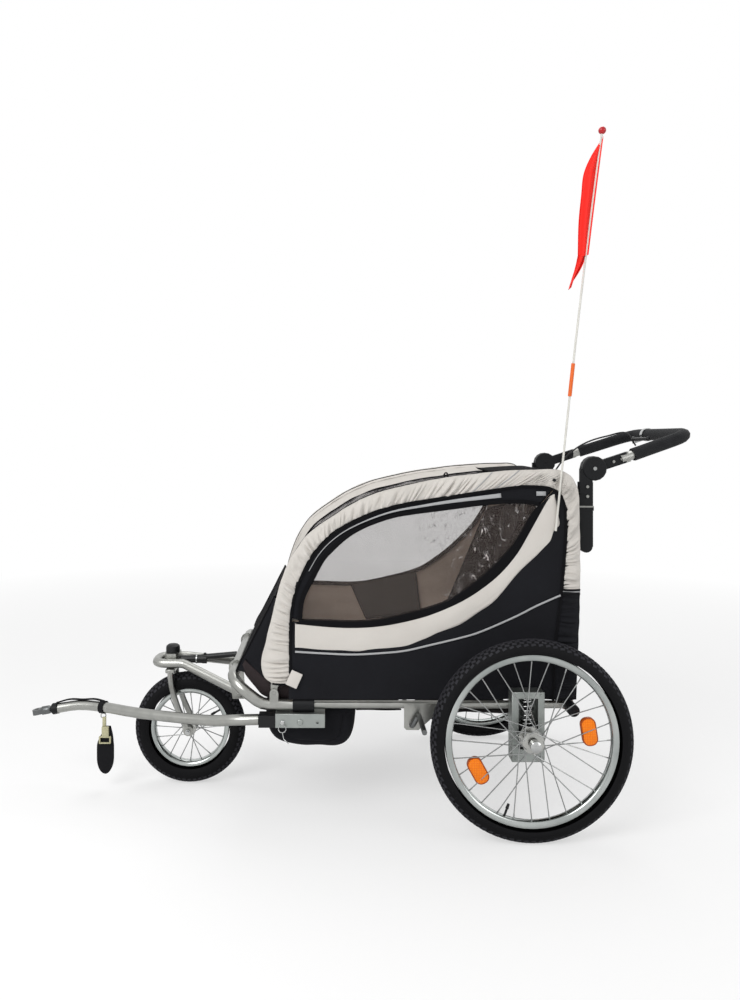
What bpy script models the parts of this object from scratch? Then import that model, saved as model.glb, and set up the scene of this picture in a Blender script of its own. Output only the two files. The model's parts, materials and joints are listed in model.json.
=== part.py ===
"""Child bike trailer with a jogging wheel, a tow bar, sprung rear wheels and a folding cabin.

Metres, +Z up. The trailer points along -X, its left side is -Y. The origin lies on the ground under
the middle of its overall length.
"""

import math

import bmesh
import bpy
from mathutils import Matrix, Vector

# Fits
GAP = 0.0003                 # seat between two pieces that touch
RUN = 0.0002                 # running clearance of a shaft in its bore

# Rear wheels, 20 inch (47-406)
REAR_RADIUS = 0.250
REAR_TYRE_WIDTH = 0.047
REAR_RIM_RADIUS = 0.213
REAR_RIM_DEPTH = 0.017
REAR_RIM_WIDTH = 0.025
REAR_SPOKES = 28
REAR_FLANGE_RADIUS = 0.027
REAR_HUB_HALF = 0.025
AXLE_X = 0.438
AXLE_RADIUS = 0.006
BUTTON_RADIUS = 0.0065
BUTTON_TRAVEL = 0.003

# Front wheel, 12 1/2 x 2 1/4 (62-203)
FRONT_RADIUS = 0.159
FRONT_TYRE_WIDTH = 0.057
FRONT_RIM_RADIUS = 0.112
FRONT_RIM_DEPTH = 0.014
FRONT_RIM_WIDTH = 0.030
FRONT_SPOKES = 20
FRONT_FLANGE_RADIUS = 0.020
FRONT_HUB_HALF = 0.028
FRONT_AXLE_RADIUS = 0.0045

# Both wheels
RIM_STEPS = 32
FRONT_PHASE = 2.5            # degrees that the front tyre's and rim's facets are turned by
TYRE_WALL = 0.004
RIM_WALL = 0.002
FLANGE_THICK = 0.0025
FLANGE_INSET = 0.004
HUB_BARREL_RADIUS = 0.013
SPOKE_RADIUS = 0.0010
REFLECTOR_LONG = 0.035       # half its length
REFLECTOR_SHORT = 0.019      # half its width
REFLECTOR_THICK = 0.016
REFLECTORS = ((9, 0.1425), (209, 0.1510))   # angle in degrees and distance from the hub

# Main frame
RAIL_Y = 0.270
RAIL_Z = 0.311
RAIL_RADIUS = 0.010
RAIL_FRONT_X = -0.127
REAR_BAR_X = 0.552
REAR_BAR_RADIUS = 0.0125
REAR_PLUG_RADIUS = 0.015
REAR_PLUG_REACH = 0.055      # from the rail's middle to the plug's end
BUMPER_RADIUS = 0.015
BUMPER_BEND_X = -0.232
BUMPER_FRONT_X = -0.312
BUMPER_FRONT_Z = 0.372
BUMPER_CORNER = 0.053
SLEEVE_RADIUS = 0.0178
SLEEVE_FRONT = 0.026
SLEEVE_REAR = 0.029
AXLE_BAR_RADIUS = 0.010
AXLE_BAR_Z = 0.285

# Suspension housing, a grey box with a window over the coil
HOUSING_LENGTH = 0.082
HOUSING_TOP = 0.358
HOUSING_BOTTOM = 0.183
HOUSING_DEPTH = 0.042
HOUSING_WALL = 0.003
WINDOW_WIDTH = 0.049
SEAT_BLOCK = 0.016           # solid block at the housing's top that the coil pushes on
FLOOR_PLATE_Z = 0.215
CARRIER_HALF_HEIGHT = 0.022
CARRIER_BOSS_RADIUS = 0.015
CARRIER_BOSS_REACH = 0.0074   # from the housing to the hub
SUSPENSION_TRAVEL = 0.025
COIL_RADIUS = 0.0125
COIL_WIRE = 0.0016
COIL_TURNS = 7
COIL_POINTS = 9              # points a turn
DAMPER_RADIUS = 0.0075
DAMPER_STOP = 0.0027         # left between the block and the damper at full travel
DAMPER_ROD_RADIUS = 0.0033
DAMPER_ROD_GRIP = 0.0063     # of the rod inside the damper at rest

# Side arches, which carry the cabin's fabric: line through (X, Z)
ARCH_RADIUS = 0.0125
ARCH_FOOT = (-0.201, 0.343)
ARCH_LINE = [(-0.190, 0.450), (-0.176, 0.560), (-0.148, 0.650), (-0.097, 0.733), (-0.027, 0.790),
             (0.093, 0.838), (0.240, 0.868), (0.400, 0.886)]
ARCH_END = (0.520, 0.890)
ARCH_START = 0.016           # from the pin to the end of the tube
ARCH_PIN_RADIUS = 0.004
ARCH_TONGUE_HALF = 0.0076
ARCH_EAR_OUT = 0.0124
ARCH_EAR_RADIUS = 0.011

# Rear upright, a bent tube that stands on the rear cross tube
POST_Y = 0.2425
POST_RADIUS = 0.0125
POST_TOP_Z = 0.880
POST_BEND = 0.030
POST_EYE_RADIUS = 0.0185
POST_EYE_HALF = 0.0145

# Push handle
HANDLE_X = 0.627
HANDLE_Z = 0.915
DISC_RADIUS = 0.032
DISC_OUTER_THICK = 0.0135
DISC_INNER_THICK = 0.0140
DISC_MID_Y = 0.2402          # the face between the two discs
HANDLE_PIN_RADIUS = 0.005
STRUT_X = 0.606
STRUT_WIDTH = 0.034
STRUT_THICK = 0.022
STRUT_BOTTOM_Z = 0.700
STRUT_TOP_Z = 0.880
STRUT_COLLAR_Z = 0.812
CLAMP_LOW_Z = 0.730
CLAMP_HIGH_Z = 0.837
STRUT_BOLTS = (0.843, 0.868)
CLAMP_HALF = 0.010
CLAMP_WALL = 0.0021
ARM_HEIGHT = 0.027
ARM_END_X = 0.722
HANDLE_BOLTS = (0.056, 0.078)   # from the hinge's pin
BAR_RADIUS = 0.0125
BAR_START_X = 0.700
BAR_START_Z = 0.939
BAR_END_X = 0.8950            # of the tube's middle line
BAR_END_Z = 1.004
BAR_NARROW_Y = 0.205
BAR_CORNER = 0.060
GRIP_RADIUS = 0.0170
GRIP_START_X = 0.734

# Hand brake
LEVER_Y = 0.085
LEVER_LENGTH = 0.095
LEVER_AHEAD = 0.042
LEVER_CLAMP_HALF = 0.009
CABLE_RADIUS = 0.0025

# Parking brake bar under the rails
BRAKE_PIVOT_X = 0.150
BRAKE_PIVOT_Z = 0.262
BRAKE_STUB_X = 0.167
BRAKE_STUB_Z = 0.293
BRAKE_ROD_RADIUS = 0.0065
BRAKE_CRANK_Y = 0.2955
BRAKE_REACH_Y = 0.421
BRAKE_PLATE_FRONT = 0.131
BRAKE_PLATE_REAR = 0.212
BRAKE_PLATE_THICK = 0.004
BRAKE_BEND = 0.010

# Front wheel carrier
HEAD_X = -0.513
FRONT_HUB_X = -0.462
HEAD_RADIUS = 0.0205          # half its length
HEAD_CHAMFER = 0.007
HEAD_BOTTOM_Z = 0.3365
HEAD_TOP_Z = 0.375
CAP_HEIGHT = 0.022
STEERER_RADIUS = 0.0115
CROWN_HALF_WIDTH = 0.043
CROWN_HEIGHT = 0.011
BLADE_RADIUS = 0.0085
BLADE_Y = 0.0420
DROPOUT_THICK = 0.005
ARM_TUBE_RADIUS = 0.0125
ARM_FRONT_X = -0.556
ARM_FRONT_Z = 0.352
ARM_NECK_Y = 0.0405
ARM_BEND = 0.028
ARM_REAR_X = -0.300
ARM_REAR_Z = 0.300
ARM_REAR_Y = 0.150
ARM_PLATE_THICK = 0.005
ARM_PLATE_RIM = 0.006
STAY_RADIUS = 0.008
STAY_HEAD_Z = 0.354

# Tow bar
TOW_PIVOT_X = -0.134
TOW_PIVOT_Z = 0.272
TOW_PIN_RADIUS = 0.004
TOW_LOCK_X = -0.179
TOW_SPARE_X = -0.090
TOW_BLOCK_HALF = 0.0182
TOW_BLOCK_RISE = 0.0150
TOW_BLOCK_FRONT_X = -0.240
BRACKET_FRONT_X = -0.197
BRACKET_REAR_X = -0.071
BRACKET_WALL = 0.0025
BRACKET_BOTTOM_Z = 0.2575
TOW_TUBE_RADIUS = 0.0140
TOW_LINE = [(-0.300, -0.262, 0.268), (-0.389, -0.212, 0.250), (-0.576, -0.125, 0.238),
            (-0.697, -0.055, 0.232), (-0.775, -0.028, 0.229)]
TOW_END = (-0.850, -0.020, 0.216)
RING_PIN_RADIUS = 0.0036
RING_RADIUS = 0.010
RING_WIRE = 0.0012
COUPLER_LENGTH = 0.058
COUPLER_RADIUS = 0.012
COUPLER_HOLE = 0.005
COUPLER_THICK = 0.014
STRAP_WIDTH = 0.038
STRAP_LOOP_DEPTH = 0.016
STRAP_LOOP_LENGTH = 0.098
STRAP_WEB = 0.0022
STRAP_X = -0.700
STRAP_CLIP_LENGTH = 0.040

# Flag
FLAG_Y = 0.2915
POLE_RADIUS = 0.003
FERRULE_LOW = 1.100
FERRULE_HIGH = 1.183
FERRULE_FACTOR = 1.7
BALL_RADIUS = 0.010
PENNANT_TOP = 1.749
PENNANT_BOTTOM = PENNANT_TOP - 0.380
PENNANT_WIDEST = PENNANT_TOP - 0.269
POLE_TIP = 0.026             # from the pennant's top to the pole's
POLE_LINE = [(0.515, 0.758), (0.540, 1.000), (0.567, 1.250), (0.601, 1.520),
             (0.637, PENNANT_TOP + POLE_TIP)]
PENNANT_WIDTH = 0.040
PENNANT_FOLDS = 3
PENNANT_FOLD_DEPTH = 0.008
PENNANT_THICK = 0.0012
SLEEVE_WALL = 0.0012

# Cabin fabric
CLOTH = 0.0025
PANEL_Y = 0.2828
PANEL_BOTTOM_Z = 0.3275
BORDER_FRONT = 0.034         # from the arch's middle out to the border's edge, at the foot
BORDER_REAR = 0.022
BORDER_BOTTOM_Z = 0.402
REAR_CORNER = [(0.531, 0.913), (0.560, 0.902), (0.5735, 0.880)]
REAR_EDGE = [(0.577, 0.813), (0.578, 0.609), (0.569, 0.3275)]
PANEL_FRONT_X = -0.150
NOTCH_GAP = 0.004            # from the suspension housing to the cloth cut round it
WINDOW_BOTTOM = [(-0.132, 0.527), (0.005, 0.521), (0.122, 0.533), (0.210, 0.553), (0.298, 0.591),
                 (0.356, 0.644), (0.414, 0.726), (0.480, 0.845)]
WINDOW_TOP = [(0.470, 0.852), (0.373, 0.838), (0.239, 0.822), (0.122, 0.800), (0.040, 0.768),
              (-0.024, 0.726), (-0.070, 0.675), (-0.112, 0.605)]
FILM = 0.0012
FILM_LAP = 0.007
APRON_LINE = [(-0.300, 0.3905), (-0.262, 0.450), (-0.219, 0.517)]
APRON_HALF = 0.254
CANOPY_FRONT_Z = 0.520
CANOPY_SAG = 0.006
CANOPY_CORNER = [(0.530, 0.9117), (0.558, 0.9010), (0.5705, 0.8880), (0.5712, 0.8760)]
REAR_PANEL_TOP = 0.850
REAR_PANEL_BOTTOM = 0.340
REAR_PANEL_HALF = 0.218

# Footwell and floor: line through (X, Z), swept across the cabin
FOOTWELL_HALF = 0.235
FOOTWELL_RIM_Z = 0.290
FLOOR_REAR_X = 0.128
FLOOR_UNDER_Z = 0.283
FOOTWELL_LINE = [(-0.227, 0.250), (-0.200, 0.203), (-0.150, 0.188), (-0.030, 0.180), (0.000, 0.205),
                 (0.012, 0.270)]

# Seat
SEAT_HALF = 0.222
SEAT_FRONT_X = 0.172
SEAT_REAR_X = 0.424
SEAT_TOP_Z = 0.308
SEAT_BELLY_Z = 0.262
SEAT_CHANNELS = 3
BACK_FOOT = (0.425, 0.335)
BACK_HEAD = (0.500, 0.800)
BACK_THICK = 0.030
BACK_HALF = 0.215
BACK_CHANNELS = 4
STRAP_HALF = 0.0125
HARNESS_THICK = 0.0018
HARNESS_LIFT = 0.003
BUCKLE_HALF = 0.026

# Worked out from the sizes above
AXLE_Z = REAR_RADIUS
FRONT_HUB_Z = FRONT_RADIUS
HOUSING_IN = RAIL_Y + RAIL_RADIUS + GAP
HOUSING_OUT = HOUSING_IN + HOUSING_DEPTH
TRACK_HALF = HOUSING_OUT + CARRIER_BOSS_REACH + GAP + REAR_HUB_HALF
COIL_TOP = HOUSING_TOP - SEAT_BLOCK
COIL_MID_Y = (HOUSING_IN + HOUSING_OUT) / 2
BLOCK_TOP = AXLE_Z + CARRIER_HALF_HEIGHT
DAMPER_BOTTOM = BLOCK_TOP + SUSPENSION_TRAVEL + DAMPER_STOP
REAR_PLUG_END = RAIL_Y + REAR_PLUG_REACH
SLEEVE_X = RAIL_FRONT_X
TOW_Y = -RAIL_Y

COLOURS = {                  # base colour, roughness, metallic
    "satin_tube": ((0.46, 0.46, 0.43), 0.38, 0.9),
    "grey_steel": ((0.27, 0.29, 0.27), 0.45, 0.85),
    "chrome": ((0.72, 0.72, 0.70), 0.15, 1.0),
    "black_plastic": ((0.018, 0.018, 0.020), 0.50, 0.0),
    "black_paint": ((0.020, 0.020, 0.022), 0.35, 0.3),
    "black_foam": ((0.022, 0.023, 0.025), 0.85, 0.0),
    "tyre_rubber": ((0.020, 0.020, 0.021), 0.75, 0.0),
    "pale_cloth": ((0.68, 0.64, 0.61), 0.80, 0.0),
    "black_cloth": ((0.013, 0.013, 0.016), 0.85, 0.0),
    "clear_film": ((0.75, 0.78, 0.80), 0.12, 0.0),
    "flag_cloth": ((0.90, 0.035, 0.012), 0.70, 0.0),
    "white_rod": ((0.78, 0.77, 0.72), 0.35, 0.0),
    "amber_lens": ((1.00, 0.26, 0.00), 0.20, 0.0),
}


def clear_scene():
    for thing in list(bpy.data.objects):
        bpy.data.objects.remove(thing, do_unlink=True)


def new_collection(name):
    made = bpy.data.collections.new(name)
    bpy.context.scene.collection.children.link(made)
    return made


def material(name):
    found = bpy.data.materials.get(name)
    if found:
        return found
    colour, roughness, metallic = COLOURS[name]
    made = bpy.data.materials.new(name)
    made.use_nodes = True
    shader = made.node_tree.nodes["Principled BSDF"]
    shader.inputs["Base Color"].default_value = (*colour, 1.0)
    shader.inputs["Roughness"].default_value = roughness
    shader.inputs["Metallic"].default_value = metallic
    return made


clear_scene()
PARTS = new_collection("child_bike_trailer")
CUTTERS = new_collection("cutters")


def add(name, data, finish, matrix=None):
    made = bpy.data.objects.new(name, data)
    PARTS.objects.link(made)
    data.materials.append(material(finish))
    if matrix is not None:
        made.matrix_world = matrix
    return made


def helper(*things):
    for thing in things:
        PARTS.objects.unlink(thing)
        CUTTERS.objects.link(thing)
        thing.hide_render = True
        thing.display_type = "WIRE"


def boolean(target, operation, others):
    for other in others:
        step = target.modifiers.new(operation.lower(), "BOOLEAN")
        step.operation = operation
        step.solver = "EXACT"
        step.object = other
    helper(*others)
    return target


def fuse(target, *others):
    return boolean(target, "UNION", others)


def cut(target, *others):
    return boolean(target, "DIFFERENCE", others)


def from_bmesh(name, shape, finish, matrix=None, smooth=True):
    data = bpy.data.meshes.new(name)
    shape.to_mesh(data)
    shape.free()
    if smooth:
        data.shade_smooth()
        data.set_sharp_from_angle(angle=math.radians(35))
    return add(name, data, finish, matrix)


def toward(axis):
    return Vector(axis).normalized().to_track_quat("Z", "Y").to_matrix().to_4x4()


def cylinder(name, start, end, radius, finish, sides=16, end_radius=None):
    start = Vector(start)
    end = Vector(end)
    shape = bmesh.new()
    bmesh.ops.create_cone(shape, cap_ends=True, segments=sides, radius1=radius,
                          radius2=radius if end_radius is None else end_radius,
                          depth=(end - start).length)
    place = Matrix.Translation((start + end) / 2) @ toward(end - start)
    bmesh.ops.transform(shape, matrix=place, verts=shape.verts)
    return from_bmesh(name, shape, finish)


def box(name, low, high, finish, bevel=0.0):
    low = Vector(low)
    high = Vector(high)
    shape = bmesh.new()
    bmesh.ops.create_cube(shape, size=1.0)
    bmesh.ops.scale(shape, vec=high - low, verts=shape.verts)
    bmesh.ops.translate(shape, vec=(low + high) / 2, verts=shape.verts)
    made = from_bmesh(name, shape, finish, smooth=False)
    if bevel:
        edge = made.modifiers.new("edges", "BEVEL")
        edge.width = bevel
        edge.segments = 1
    return made


def turned(name, profile, finish, centre, axis, steps, ring=False, phase=4.0):
    """A profile of (radius, height) down its outer side, turned round the axis through the centre."""
    data = bpy.data.meshes.new(name)
    edges = [(i, i + 1) for i in range(len(profile) - 1)]
    if ring:
        edges.append((len(profile) - 1, 0))
    data.from_pydata([(r, 0.0, z) for r, z in profile], edges, [])
    phased = toward(axis) @ Matrix.Rotation(math.radians(phase), 4, "Z")
    made = add(name, data, finish, Matrix.Translation(centre) @ phased)
    turn = made.modifiers.new("turn", "SCREW")
    turn.axis = "Z"
    turn.angle = math.tau
    turn.steps = steps
    turn.render_steps = steps
    turn.use_merge_vertices = True
    turn.merge_threshold = 0.00001
    turn.use_smooth_shade = True
    return made


def tube(name, path, radius, finish, resolution=3, radii=None):
    data = bpy.data.curves.new(name, "CURVE")
    data.dimensions = "3D"
    data.bevel_depth = radius
    data.bevel_resolution = resolution
    data.use_fill_caps = True
    line = data.splines.new("POLY")
    line.points.add(len(path) - 1)
    for i, place in enumerate(path):
        line.points[i].co = (*place, 1.0)
        line.points[i].radius = radii[i] if radii else 1.0
    return add(name, data, finish)


def flat(name, outlines, thickness, finish, matrix):
    data = bpy.data.curves.new(name, "CURVE")
    data.dimensions = "2D"
    data.fill_mode = "BOTH"
    data.extrude = thickness / 2
    for outline in outlines:
        line = data.splines.new("POLY")
        line.points.add(len(outline) - 1)
        for i, (u, v) in enumerate(outline):
            line.points[i].co = (u, v, 0.0, 1.0)
        line.use_cyclic_u = True
    return add(name, data, finish, matrix)


def meshed(thing):
    """The same object as a welded mesh of flat faces, which Booleans and modifiers can take."""
    bpy.context.view_layer.update()
    graph = bpy.context.evaluated_depsgraph_get()
    name = thing.name
    data = bpy.data.meshes.new_from_object(thing.evaluated_get(graph))
    matrix = thing.matrix_world.copy()
    finish = thing.data.materials[0].name
    bpy.data.objects.remove(thing, do_unlink=True)
    shape = bmesh.new()
    shape.from_mesh(data)
    bmesh.ops.remove_doubles(shape, verts=shape.verts, dist=0.00002)
    bmesh.ops.triangulate(shape, faces=shape.faces)
    bmesh.ops.recalc_face_normals(shape, faces=shape.faces)
    shape.to_mesh(data)
    shape.free()
    data.materials.clear()
    data.shade_smooth()
    data.set_sharp_from_angle(angle=math.radians(35))
    made = add(name, data, finish, matrix)
    made.name = name
    return made


def side_view(y):
    """A matrix that stands a flat outline of (X, Z) upright, its middle plane at this Y."""
    return Matrix.Translation((0, y, 0)) @ Matrix.Rotation(math.radians(90), 4, "X")


def fillet(points, radius, step=22.0):
    """The same path with each inner corner turned into an arc of this radius."""
    points = [Vector(p) for p in points]
    path = [points[0]]
    for before, corner, after in zip(points, points[1:], points[2:]):
        inward = (before - corner).normalized()
        outward = (after - corner).normalized()
        turn = math.pi - inward.angle(outward)
        if turn < 0.02:
            path.append(corner)
            continue
        reach = radius * math.tan(turn / 2)
        middle = corner + (inward + outward).normalized() * (radius / math.cos(turn / 2))
        first = corner + inward * reach - middle
        count = max(2, round(math.degrees(turn) / step))
        normal = first.cross(corner + outward * reach - middle)
        for i in range(count + 1):
            swing = Matrix.Rotation(turn * i / count, 4, normal)
            path.append(middle + swing @ first)
    path.append(points[-1])
    return path


def smooth_line(points, steps):
    """A smooth line through the points, with this many steps between two of them."""
    points = [Vector(p) for p in points]
    ends = [2 * points[0] - points[1], *points, 2 * points[-1] - points[-2]]
    path = []
    for a, b, c, d in zip(ends, ends[1:], ends[2:], ends[3:]):
        for i in range(steps):
            t = i / steps
            path.append(0.5 * (2 * b + (c - a) * t + (2 * a - 5 * b + 4 * c - d) * t * t
                               + (3 * b - a - 3 * c + d) * t ** 3))
    path.append(points[-1])
    return path


def even_line(points, count):
    """This many points, evenly spaced along a line."""
    lengths = [0.0]
    for a, b in zip(points, points[1:]):
        lengths.append(lengths[-1] + (b - a).length)
    path = []
    place = 0
    for i in range(count):
        want = lengths[-1] * i / (count - 1)
        while place < len(points) - 2 and lengths[place + 1] < want:
            place += 1
        share = (want - lengths[place]) / (lengths[place + 1] - lengths[place])
        path.append(points[place].lerp(points[place + 1], min(share, 1.0)))
    return path


def offset_line(line, first, last):
    """A line of (X, Z) moved to its left by a distance that runs from the first to the last."""
    moved = []
    for i, here in enumerate(line):
        ahead = line[min(i + 1, len(line) - 1)] - line[max(i - 1, 0)]
        left = Vector((-ahead.y, ahead.x)).normalized()
        share = i / (len(line) - 1)
        moved.append(here + left * (first + (last - first) * share))
    return moved


def sheet(name, rows, thickness, finish, smooth=True):
    """A cloth surface through rows of points, given its thickness."""
    shape = bmesh.new()
    bmesh.ops.create_grid(shape, x_segments=len(rows[0]) - 1, y_segments=len(rows) - 1, size=1.0)
    shape.verts.ensure_lookup_table()
    wide = len(rows[0])
    for i, vert in enumerate(shape.verts):
        vert.co = rows[i // wide][i % wide]
    data = bpy.data.meshes.new(name)
    shape.to_mesh(data)
    shape.free()
    if smooth:
        data.shade_smooth()
    made = add(name, data, finish)
    wall = made.modifiers.new("cloth", "SOLIDIFY")
    wall.thickness = thickness
    wall.offset = 0.0
    wall.use_even_offset = False
    return made


def padded(name, finish, length, width, thickness, crown, channels, matrix, cells=(12, 8)):
    """A cushion whose top swells and is sewn in channels along its length."""
    shape = bmesh.new()
    bmesh.ops.create_cube(shape, size=1.0)
    long_edges = [e for e in shape.edges if abs((e.verts[0].co - e.verts[1].co).x) > 0.5]
    bmesh.ops.subdivide_edges(shape, edges=long_edges, cuts=cells[0] - 1, use_grid_fill=True)
    wide_edges = [e for e in shape.edges if abs((e.verts[0].co - e.verts[1].co).y) > 0.5]
    bmesh.ops.subdivide_edges(shape, edges=wide_edges, cuts=cells[1] - 1, use_grid_fill=True)
    for vert in shape.verts:
        u = 2 * vert.co.x
        v = 2 * vert.co.y
        swell = (1 - abs(u) ** 4) * (1 - abs(v) ** 4)
        seam = abs(math.cos(math.pi * (u + 1) / 2 * channels)) ** 6
        waist = 1 - 0.03 * ((1 - u * u) * abs(v) ** 8 + (1 - v * v) * abs(u) ** 8)
        high = thickness * 0.5 * (0.45 + 0.55 * swell ** 0.5)
        if vert.co.z > 0:
            high += crown * swell * (1 - 0.75 * seam)
        vert.co = (vert.co.x * length * waist, vert.co.y * width * waist,
                   high if vert.co.z > 0 else -high)
    return from_bmesh(name, shape, finish, matrix)


def bore(radius, steps, clearance=RUN):
    """The radius of a faceted hole that clears a shaft at every angle."""
    return (radius + clearance) / math.cos(math.pi / steps)


def empty(name, place):
    made = bpy.data.objects.new(name, None)
    made.location = place
    made.empty_display_size = 0.05
    PARTS.objects.link(made)
    return made


def carry(joint, *things):
    """Parents things to the empty on their joint's axis, with no change of place."""
    bpy.context.view_layer.update()
    for thing in things:
        place = thing.matrix_world.copy()
        thing.parent = joint
        thing.matrix_parent_inverse = joint.matrix_world.inverted()
        thing.matrix_world = place


# Wheels


def tyre(name, centre, axis, radius, width, rim_radius, rim_width, phase=0.0):
    half = width / 2
    middle = radius - half
    lip = rim_width / 2 - RIM_WALL - GAP
    seat = rim_radius - 0.006
    waist = math.acos((rim_radius + 0.004 - middle) / half)
    arc = [waist * (1 - 2 * i / 8) for i in range(9)]
    inner = half - TYRE_WALL
    outside = [(middle + half * math.cos(t), half * math.sin(t)) for t in arc]
    inside = [(middle + inner * math.cos(t), inner * math.sin(t)) for t in (-1.2, 1.2)]
    above = rim_radius + 2 * GAP
    profile = [(seat, lip), (above, lip), *outside, (above, -lip), (seat, -lip), (seat, -lip + 0.003), *inside,
               (seat, lip - 0.003)]
    return turned(name, profile, "tyre_rubber", centre, axis, RIM_STEPS, ring=True, phase=phase)


def rim(name, centre, axis, radius, depth, width, phase=0.0):
    half = width / 2
    lip = half - RIM_WALL
    bed = radius - 0.007
    well = radius - depth
    shoulder = half * 0.92
    profile = [(radius, lip), (bed, lip), (bed, -lip), (radius, -lip), (radius, -half), (bed - RIM_WALL, -shoulder),
               (well, -half * 0.5), (well, half * 0.5), (bed - RIM_WALL, shoulder), (radius, half)]
    return turned(name, profile, "chrome", centre, axis, RIM_STEPS, ring=True, phase=phase)


def spoke_ends(index, count, flange_radius, flange_z, rim_radius):
    """Where a cross-laced spoke starts on its flange and ends at the rim, in the wheel's own frame."""
    angle = math.tau * index / count
    side = 1 if index % 2 else -1
    lean = 1 if (index // 2) % 2 else -1
    lace = 3 * math.tau / (count / 2)
    start = angle + lean * lace
    bed = 0.0011 * lean * side
    return (Vector((flange_radius * math.cos(start), flange_radius * math.sin(start),
                    side * flange_z + bed)),
            Vector((rim_radius * math.cos(angle), rim_radius * math.sin(angle), side * 0.002)))


def spoked_hub(name, centre, axis, spokes, flange_radius, hub_half, axle_radius, rim_inner, steps):
    hole = bore(axle_radius, steps)
    flange_out = hub_half - FLANGE_INSET
    flange_in = flange_out - FLANGE_THICK
    nose = HUB_BARREL_RADIUS * 0.8
    profile = [(nose, hub_half), (nose, flange_out), (flange_radius, flange_out),
               (flange_radius, flange_in), (HUB_BARREL_RADIUS, flange_in - 0.001),
               (HUB_BARREL_RADIUS, -flange_in + 0.001), (flange_radius, -flange_in),
               (flange_radius, -flange_out), (nose, -flange_out), (nose, -hub_half),
               (hole, -hub_half), (hole, hub_half)]
    hub = turned(name, profile, "chrome", centre, axis, steps, ring=True)
    place = Matrix.Translation(centre) @ toward(axis)
    flange_z = (flange_out + flange_in) / 2
    ends = rim_inner * math.cos(math.pi / RIM_STEPS) - 2 * GAP
    for i in range(spokes):
        start, end = spoke_ends(i, spokes, flange_radius - 0.0035, flange_z, ends)
        spoke = cylinder("spoke", place @ start, place @ end, SPOKE_RADIUS, "chrome", sides=3)
        fuse(hub, spoke)
    return hub


def reflector(centre, angle, reach):
    """An oval reflector clipped across the spokes at this angle and distance from the hub."""
    shape = bmesh.new()
    bmesh.ops.create_cone(shape, cap_ends=True, segments=14, radius1=1.0, radius2=1.0,
                          depth=REFLECTOR_THICK)
    bmesh.ops.scale(shape, vec=(REFLECTOR_SHORT, REFLECTOR_LONG, 1.0), verts=shape.verts)
    turn = Matrix.Rotation(math.radians(angle), 4, "Z") @ Matrix.Translation((reach, 0, 0))
    bmesh.ops.transform(shape, matrix=Matrix.Translation(centre) @ side_view(0) @ turn, verts=shape.verts)
    return from_bmesh("reflector", shape, "amber_lens")


def rear_wheel(side, label):
    out = (0, side, 0)
    centre = (AXLE_X, side * TRACK_HALF, AXLE_Z)
    tyre_made = tyre(label + "_tyre", centre, out, REAR_RADIUS, REAR_TYRE_WIDTH,
                     REAR_RIM_RADIUS, REAR_RIM_WIDTH)
    rim_made = rim(label + "_rim", centre, out, REAR_RIM_RADIUS, REAR_RIM_DEPTH,
                   REAR_RIM_WIDTH)
    hub = spoked_hub(label + "_spoked_hub", centre, out, REAR_SPOKES, REAR_FLANGE_RADIUS,
                     REAR_HUB_HALF, AXLE_RADIUS, REAR_RIM_RADIUS - REAR_RIM_DEPTH, 12)
    for angle, reach in REFLECTORS:
        fuse(hub, reflector(centre, angle, reach))
    return [tyre_made, rim_made, hub]


def front_wheel():
    centre = (FRONT_HUB_X, 0, FRONT_HUB_Z)
    out = (0, -1, 0)
    return [tyre("front_tyre", centre, out, FRONT_RADIUS, FRONT_TYRE_WIDTH, FRONT_RIM_RADIUS,
                 FRONT_RIM_WIDTH, FRONT_PHASE),
            rim("front_rim", centre, out, FRONT_RIM_RADIUS, FRONT_RIM_DEPTH, FRONT_RIM_WIDTH, FRONT_PHASE),
            spoked_hub("front_spoked_hub", centre, out, FRONT_SPOKES, FRONT_FLANGE_RADIUS,
                       FRONT_HUB_HALF, FRONT_AXLE_RADIUS, FRONT_RIM_RADIUS - FRONT_RIM_DEPTH, 12)]


# Rear suspension


def housing(side, label):
    half = HOUSING_LENGTH / 2
    ys = sorted((side * HOUSING_IN, side * HOUSING_OUT))
    inner = sorted((side * (HOUSING_IN + HOUSING_WALL), side * (HOUSING_OUT - HOUSING_WALL)))
    body = box(label + "_suspension_housing", (AXLE_X - half, ys[0], HOUSING_BOTTOM),
               (AXLE_X + half, ys[1], HOUSING_TOP), "grey_steel", bevel=0.0012)
    wide = half - HOUSING_WALL
    room = box("housing_room", (AXLE_X - wide, inner[0], FLOOR_PLATE_Z),
               (AXLE_X + wide, inner[1], COIL_TOP), "grey_steel")
    foot = box("housing_foot", (AXLE_X - wide, inner[0], HOUSING_BOTTOM - 0.01),
               (AXLE_X + wide, inner[1], FLOOR_PLATE_Z - HOUSING_WALL), "grey_steel")
    face = sorted((side * (HOUSING_OUT - 2 * HOUSING_WALL), side * (HOUSING_OUT + 0.01)))
    window = box("housing_window", (AXLE_X - WINDOW_WIDTH / 2, face[0], FLOOR_PLATE_Z),
                 (AXLE_X + WINDOW_WIDTH / 2, face[1], COIL_TOP), "grey_steel")
    cut(body, room, foot, window)
    screw_x = (WINDOW_WIDTH / 2 + half) / 2
    for x in (AXLE_X - screw_x, AXLE_X + screw_x):
        for z in (HOUSING_BOTTOM + 0.012, HOUSING_TOP - SEAT_BLOCK / 2):
            fuse(body, cylinder("screw", (x, side * (HOUSING_OUT - 0.001), z),
                                (x, side * (HOUSING_OUT + 0.002), z), 0.0036, "grey_steel", sides=8))
    return body


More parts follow.
